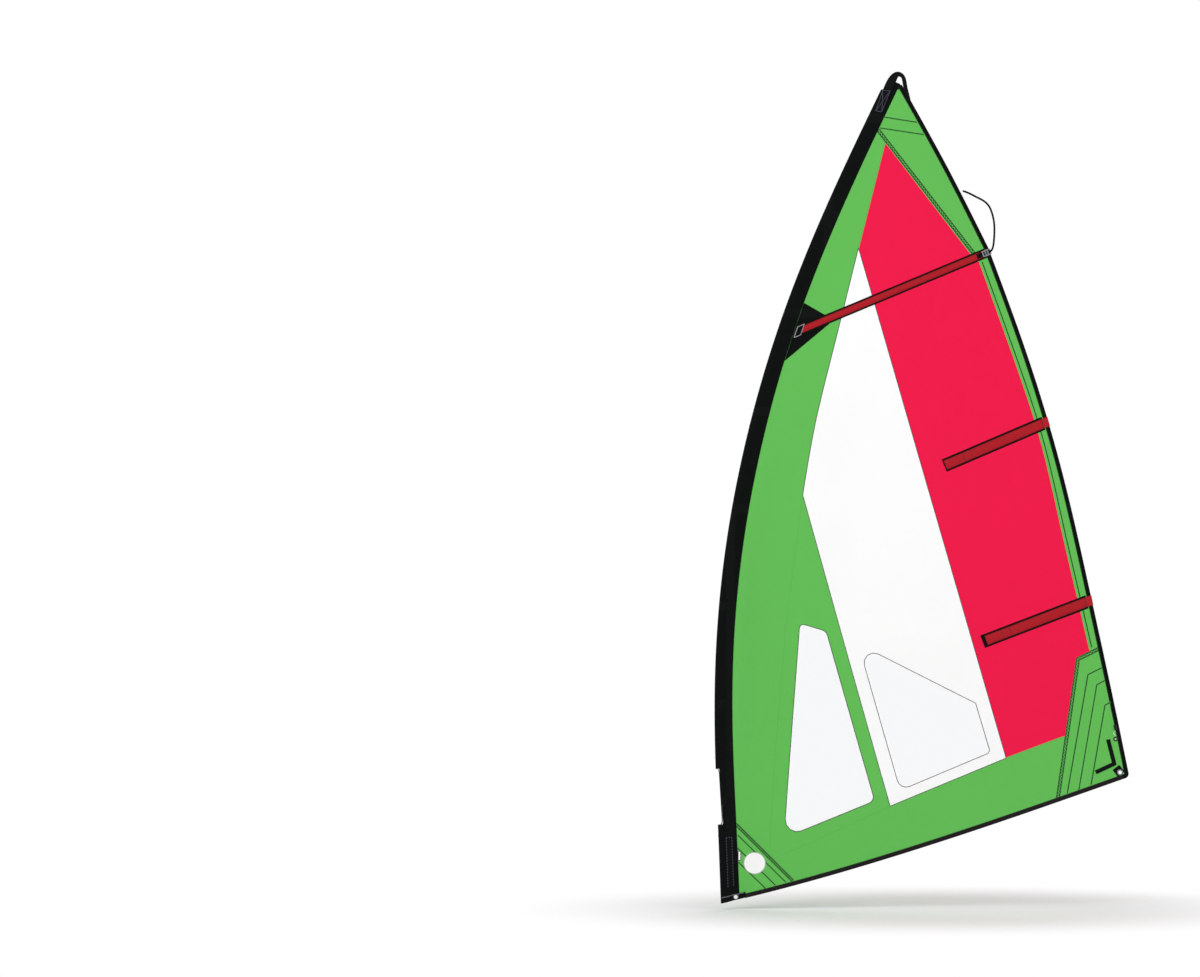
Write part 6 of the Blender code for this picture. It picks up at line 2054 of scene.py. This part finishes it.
def make_top_pocket():
    frame = pocket_frame(*TOP_POCKET)
    luff_up = unit(np.array((float(aft_x(2.98) - aft_x(2.90)), 0.08)))
    front_slant = slant(frame, luff_up)
    floor = -front_level(2) + GAP
    make_backing("top_pocket_backing", "top_pocket_tape", frame, 2)
    to_leech = pocket_to_leech(*TOP_POCKET)
    mouth, mouth_slant = to_leech[3] - TAPE_WIDTH - TOP_MOUTH_GAP, slant(frame, leech_up(to_leech))
    rows = (
        (0.0, front_slant, 1.0), (TOP_POCKET_SQUARE[0], front_slant, 1.0), (TOP_POCKET_SQUARE[1], 0.0, 1.0),
        (mouth - TOP_POCKET_END_TURN, 0.0, 1.0), (mouth, mouth_slant, 1.0),
    )
    cover = raised_cover("top_pocket_cover", frame, rows, TOP_COVER_WIDTH, floor, "pocket_sailcloth")
    settle(cover, "top_batten_pocket")
    hem = TOP_COVER_WIDTH / 2 - HEM_ROW_INSET
    first, last = TOP_HEM_ENDS[0], mouth - TOP_HEM_ENDS[1]
    sides = [[(first, side), (last + mouth_slant * side, side)] for side in (-hem, hem)]
    pocket_rows("top_pocket_hems", frame, sides, floor + POCKET_CLOTH, "sewing_on_pocket")
    make_chafe_patch(frame, (frame[3] - CHAFE_REACH, mouth), TOP_COVER_WIDTH, floor)
    begin = -NOSE_POCKET_LENGTH
    rows = (
        (begin, front_slant, 0.0), (begin + NOSE_POCKET_RISE[0], front_slant, 0.0),
        (begin + NOSE_POCKET_RISE[1], front_slant, 1.0), (-GAP, front_slant, 1.0),
    )
    floor = -front_level(1) + GAP
    nose = raised_cover("nose_pocket_cover", frame, rows, NOSE_POCKET_WIDTH, floor, "tape_weave")
    settle(nose, "batten_nose_pocket")
    edge = NOSE_POCKET_WIDTH / 2 - NOSE_ROW_INSET
    ends = (begin + NOSE_ROW_ENDS[0], -NOSE_ROW_ENDS[1])
    paths = [[(ends[0] + front_slant * side, side) for side in (-edge, edge)]]
    paths += [[(along + front_slant * side, side) for along in ends] for side in (-edge, edge)]
    pocket_rows("nose_pocket_row", frame, paths, floor + POCKET_CLOTH, "sewing_box", BOX_ROW)
    crossing = [(-NOSE_END_ROW, front_slant)]
    cross_rows("nose_pocket_end_row", frame, crossing, NOSE_POCKET_WIDTH, floor, "sewing_box", BOX_ROW / 2)


def make_chafe_patch(frame, ends, width, floor):
    """Black webbing sewn on the top pocket under the buckle."""
    loops, places = [], []
    for across in span(-CHAFE_WIDTH / 2, CHAFE_WIDTH / 2, 15):
        low, top = [], []
        for along in span(*ends, 12):
            x, z = at(frame, along, across)
            level = cover_level(along, across, width, floor, 1.0) + POCKET_CLOTH
            low.append((x, -level, z))
            top.append((x, -level - STITCH_RISE, z))
            places.append((along, across))
        loops.append(low + top[::-1])
        places += places[-len(low):][::-1]
    settle(loft("buckle_chafe_patch", loops, "black_webbing", places, smooth=60))


def make_leech_pocket(label, start, end, band):
    frame = pocket_to_leech(start, end)
    lean_over = slant(frame, leech_up(frame))
    mouth = frame[3] - FLAP_LENGTH + FLAP_OVERLAP
    backing = label + "_pocket_backing"
    make_backing(backing, label + "_pocket_tape", frame, 1)
    floor = -front_level(1) + GAP
    flat, risen = (band + reach for reach in LEECH_POCKET_RISE)
    rows = ((band, 0.0, 0.0), (flat, 0.0, 0.0), (risen, 0.0, 1.0), (mouth, lean_over, 1.0))
    cover = raised_cover(label + "_pocket_cover", frame, rows, LEECH_COVER_WIDTH, floor, "pocket_sailcloth")
    settle(cover, label + "_batten_pocket")
    hem = LEECH_COVER_WIDTH / 2 - HEM_ROW_INSET
    first, last = band + LEECH_HEM_ENDS[0], mouth - LEECH_HEM_ENDS[1]
    paths = [[(first, side), (last, side)] for side in (-hem, hem)]
    paths += [[(band + LEECH_END_ROW, side) for side in (-hem, hem)]]
    pocket_rows(label + "_pocket_hems", frame, paths, floor + POCKET_CLOTH, "sewing_on_pocket")
    crossings = [*((along, 0.0) for along in CROSS_STITCHES), (mouth - FLAP_ROW, lean_over)]
    cross_rows(label + "_cross_row", frame, crossings, LEECH_COVER_WIDTH, floor, "sewing_across_pocket")
    front = -(floor + FACE_GAP + ELASTIC_THICK)
    flat_piece(label + "_elastic_stop", label + "_elastic", front, ELASTIC_THICK, "black_elastic", 0.0006)
    make_flap(label, frame, floor + POCKET_ROOM + POCKET_CLOTH + GAP)


def make_flap(label, frame, crest):
    """The closure flap: folded round the leech and pressed over the pocket's mouth."""
    z = at(frame, frame[3], 0.0)[1]
    fold = np.array(leech_point(z, -FLAP_FOLD_OUT))
    up = unit(np.array(leech_point(z + 0.01, -FLAP_FOLD_OUT)) - fold)
    inward = np.array((-up[1], up[0]))
    along = frame[1]
    half = FLAP_WIDTH / 2
    low = FLAP_ROOT + FLAP_START
    stations = [(distance, FLAP_ROOT) for distance in FLAP_FLAT]
    stations += [(distance, low + (crest - low) * share) for distance, share in FLAP_RISE]
    stations += [(FLAP_LENGTH + past, crest) for past in FLAP_END]
    loops = []
    for number, (distance, lift) in enumerate(stations):
        tuck = 1.0 if number < len(stations) - 1 else FLAP_END_TUCK
        row = []
        for share in FLAP_ACROSS:
            sink = min(1.0, max(0.0, (abs(share) - FLAP_ROLL) / (1 - FLAP_ROLL))) ** 1.5
            spot = fold - along * distance / max(float(-along @ inward), 0.1) + up * share * half * tuck
            drop = sink * (lift - FLAP_ROOT) * FLAP_SINK
            row.append((spot[0], -(lift - drop), spot[1]))
        outer = [(x, y - FLAP_CLOTH, z) for x, y, z in row]
        loops.append(row + outer[::-1])
    flap = loft(label + "_flap_cover", loops, "flap_sailcloth", smooth=50)
    settle(flap, label + "_pocket_flap", body=label + "_flap")


class SAIL_OT_fittings(bpy.types.Operator):
    """Finish the battens, buckle, rings, eyelet and cleat, and make the webbing at clew and head"""

    bl_idname = "sail.fittings"
    bl_label = "Battens and fittings"

    def execute(self, context):
        finishes = {
            "batten_glass_fibre": ("top_batten", "mid_batten", "low_batten"),
            "grey_moulding": ("tension_buckle",),
            "ring_steel": ("clew_ring", "tack_ring"),
            "black_moulding": ("leech_line_eyelet", "leech_line_cleat"),
        }
        for finish, nodes in finishes.items():
            for node in nodes:
                NODES[node].material_slots[0].material = bpy.data.materials[finish]
        make_flat_webbing()
        make_head_webbing()
        return {"FINISHED"}


def make_flat_webbing():
    """The square patch under the clew ring, the corner strap and the buckle's anchor."""
    turn = np.array((math.cos(CLEW_SQUARE_TURN), math.sin(CLEW_SQUARE_TURN)))
    square_frame = (np.array(CLEW_SQUARE), turn, np.array((-turn[1], turn[0])))
    strap_front = front_level(3) + PATCH - CLEW_STRAP_THICK
    anchor_front = front_level(2) - GAP - POCKET_ROOM - POCKET_CLOTH - GAP - ANCHOR_THICK
    for node, name, frame, front, thick, *shape in (
        ("clew_square_patch", "clew_square", square_frame, front_level(3), PATCH),
        (
            "clew_strap", "clew_corner_strap", pocket_frame(*CLEW_STRAP_LEG), strap_front, CLEW_STRAP_THICK,
            0.0004, 0.008, CLEW_STRAP_ROOM,
        ),
        (
            "buckle_anchor", "buckle_webbing", pocket_frame(*TOP_POCKET), anchor_front, ANCHOR_THICK,
            0.0005, 0.006,
        ),
    ):
        with_places(flat_piece(node, name, front, thick, "black_webbing", *shape), frame)


def make_head_webbing():
    """The webbing at the head: its anchor on the sleeve, with a crossed box of sewing, and its loop."""
    ends = [span(*pair, 16) for pair in (HEAD_STRAP_HEIGHTS, HEAD_STRAP_FRONT, HEAD_STRAP_AFT)]
    spots = list(zip(*ends))
    anchor = sleeve_strip("head_anchor", spots, HEAD_STRAP_LIFT, HEAD_STRAP_THICK, "black_webbing")
    settle(anchor, "head_webbing_anchor")
    sew_head_strap()
    make_head_loop()


def sew_head_strap():
    """A crossed box of sewing on the head strap's sewn part."""
    (low, high), front, aft = HEAD_STRAP_HEIGHTS, HEAD_STRAP_FRONT, HEAD_STRAP_AFT
    low, high = low + HEAD_ROW_MARGIN, high - HEAD_ROW_MARGIN
    corners = [
        (low, front[0] + HEAD_ROW_MARGIN), (high, front[1] + HEAD_ROW_MARGIN),
        (high, aft[1] - HEAD_ROW_MARGIN), (low, aft[0] - HEAD_ROW_MARGIN),
    ]
    level = HEAD_STRAP_LIFT + HEAD_STRAP_THICK + FACE_GAP
    for number, pair in enumerate(((0, 1), (1, 2), (2, 3), (3, 0), (0, 2), (1, 3))):
        start, end = (np.array(corners[corner]) for corner in pair)
        side = unit(np.array((end[1] - start[1], start[0] - end[0])))

        def spot_at(share, beside, rise, start=start, end=end, side=side):
            z, inward = start + (end - start) * share + side * beside
            return over_sleeve(z, inward, level + rise)

        run = math.dist(start, end)
        stations = [(share * run, share) for share in span(0.0, 1.0, 12)]
        sewn_row("head_strap_row_" + str(number + 1), stations, spot_at, 0.0012, "sewing_violet")


def make_head_loop():
    """The loop over the mast's tip, one flat band from the sleeve round to the leech tape."""
    points = smooth_route(HEAD_LOOP, 64)
    flat = [point[:2] for point in points]
    through = HEAD_LOOP_THICK / 2
    loops, places = [], []
    for run, (spot, ahead, side), station in zip(reach_along(flat), path_frames(flat), points):
        level, half, tilt, slanted = station[2:]
        edge = half - HEAD_LOOP_ROUND
        near = [(-half, -through / 2), *((x, -through) for x in (-edge, 0.0, edge)), (half, -through / 2)]
        loop = []
        for across, y in [*near, *((across, -y) for across, y in near[::-1])]:
            place = spot + (side + ahead * slanted) * across
            loop.append((place[0], y - level + tilt * across / half, place[1]))
            places.append((run, across))
        loops.append(loop)
    loop = loft("head_loop", loops, "black_webbing", places, smooth=50)
    settle(loop, "head_webbing_loop")


class SAIL_PT_sidebar(bpy.types.Panel):
    """The sail's steps and settings in the sidebar"""

    bl_label = "Windsurf sail"
    bl_space_type = "VIEW_3D"
    bl_region_type = "UI"
    bl_category = "Sail"

    def draw(self, context):
        for step in STEPS:
            self.layout.operator(step.bl_idname)
        for settings in (context.scene.sail_cloth, context.scene.sail_stage):
            for key in settings.__annotations__:
                self.layout.prop(settings, key)


STEPS = (
    SAIL_OT_stage,
    SAIL_OT_finishes,
    SAIL_OT_cords,
    SAIL_OT_panels,
    SAIL_OT_windows,
    SAIL_OT_patches,
    SAIL_OT_sewing,
    SAIL_OT_sleeve,
    SAIL_OT_edge_tapes,
    SAIL_OT_pockets,
    SAIL_OT_fittings,
)


def register():
    for kind in (ClothSettings, StageSettings, *STEPS, SAIL_PT_sidebar):
        bpy.utils.register_class(kind)
    bpy.types.Scene.sail_cloth = bpy.props.PointerProperty(type=ClothSettings)
    bpy.types.Scene.sail_stage = bpy.props.PointerProperty(type=StageSettings)


def unregister():
    del bpy.types.Scene.sail_stage
    del bpy.types.Scene.sail_cloth
    for kind in (SAIL_PT_sidebar, *reversed(STEPS), StageSettings, ClothSettings):
        bpy.utils.unregister_class(kind)


def main():
    register()
    bpy.ops.sail.stage()
    bpy.ops.sail.finishes()
    bpy.ops.sail.cords()
    bpy.ops.sail.panels()
    bpy.ops.sail.windows()
    bpy.ops.sail.patches()
    bpy.ops.sail.sewing()
    bpy.ops.sail.sleeve()
    bpy.ops.sail.edge_tapes()
    bpy.ops.sail.pockets()
    bpy.ops.sail.fittings()
    sizes = {"cad": [list(corner) for corner in CAD_BOX], "visual": [list(corner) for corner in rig.bounds()]}
    with open("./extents.json", "w") as out:
        json.dump(sizes, out)


if __name__ == "__main__":
    main()
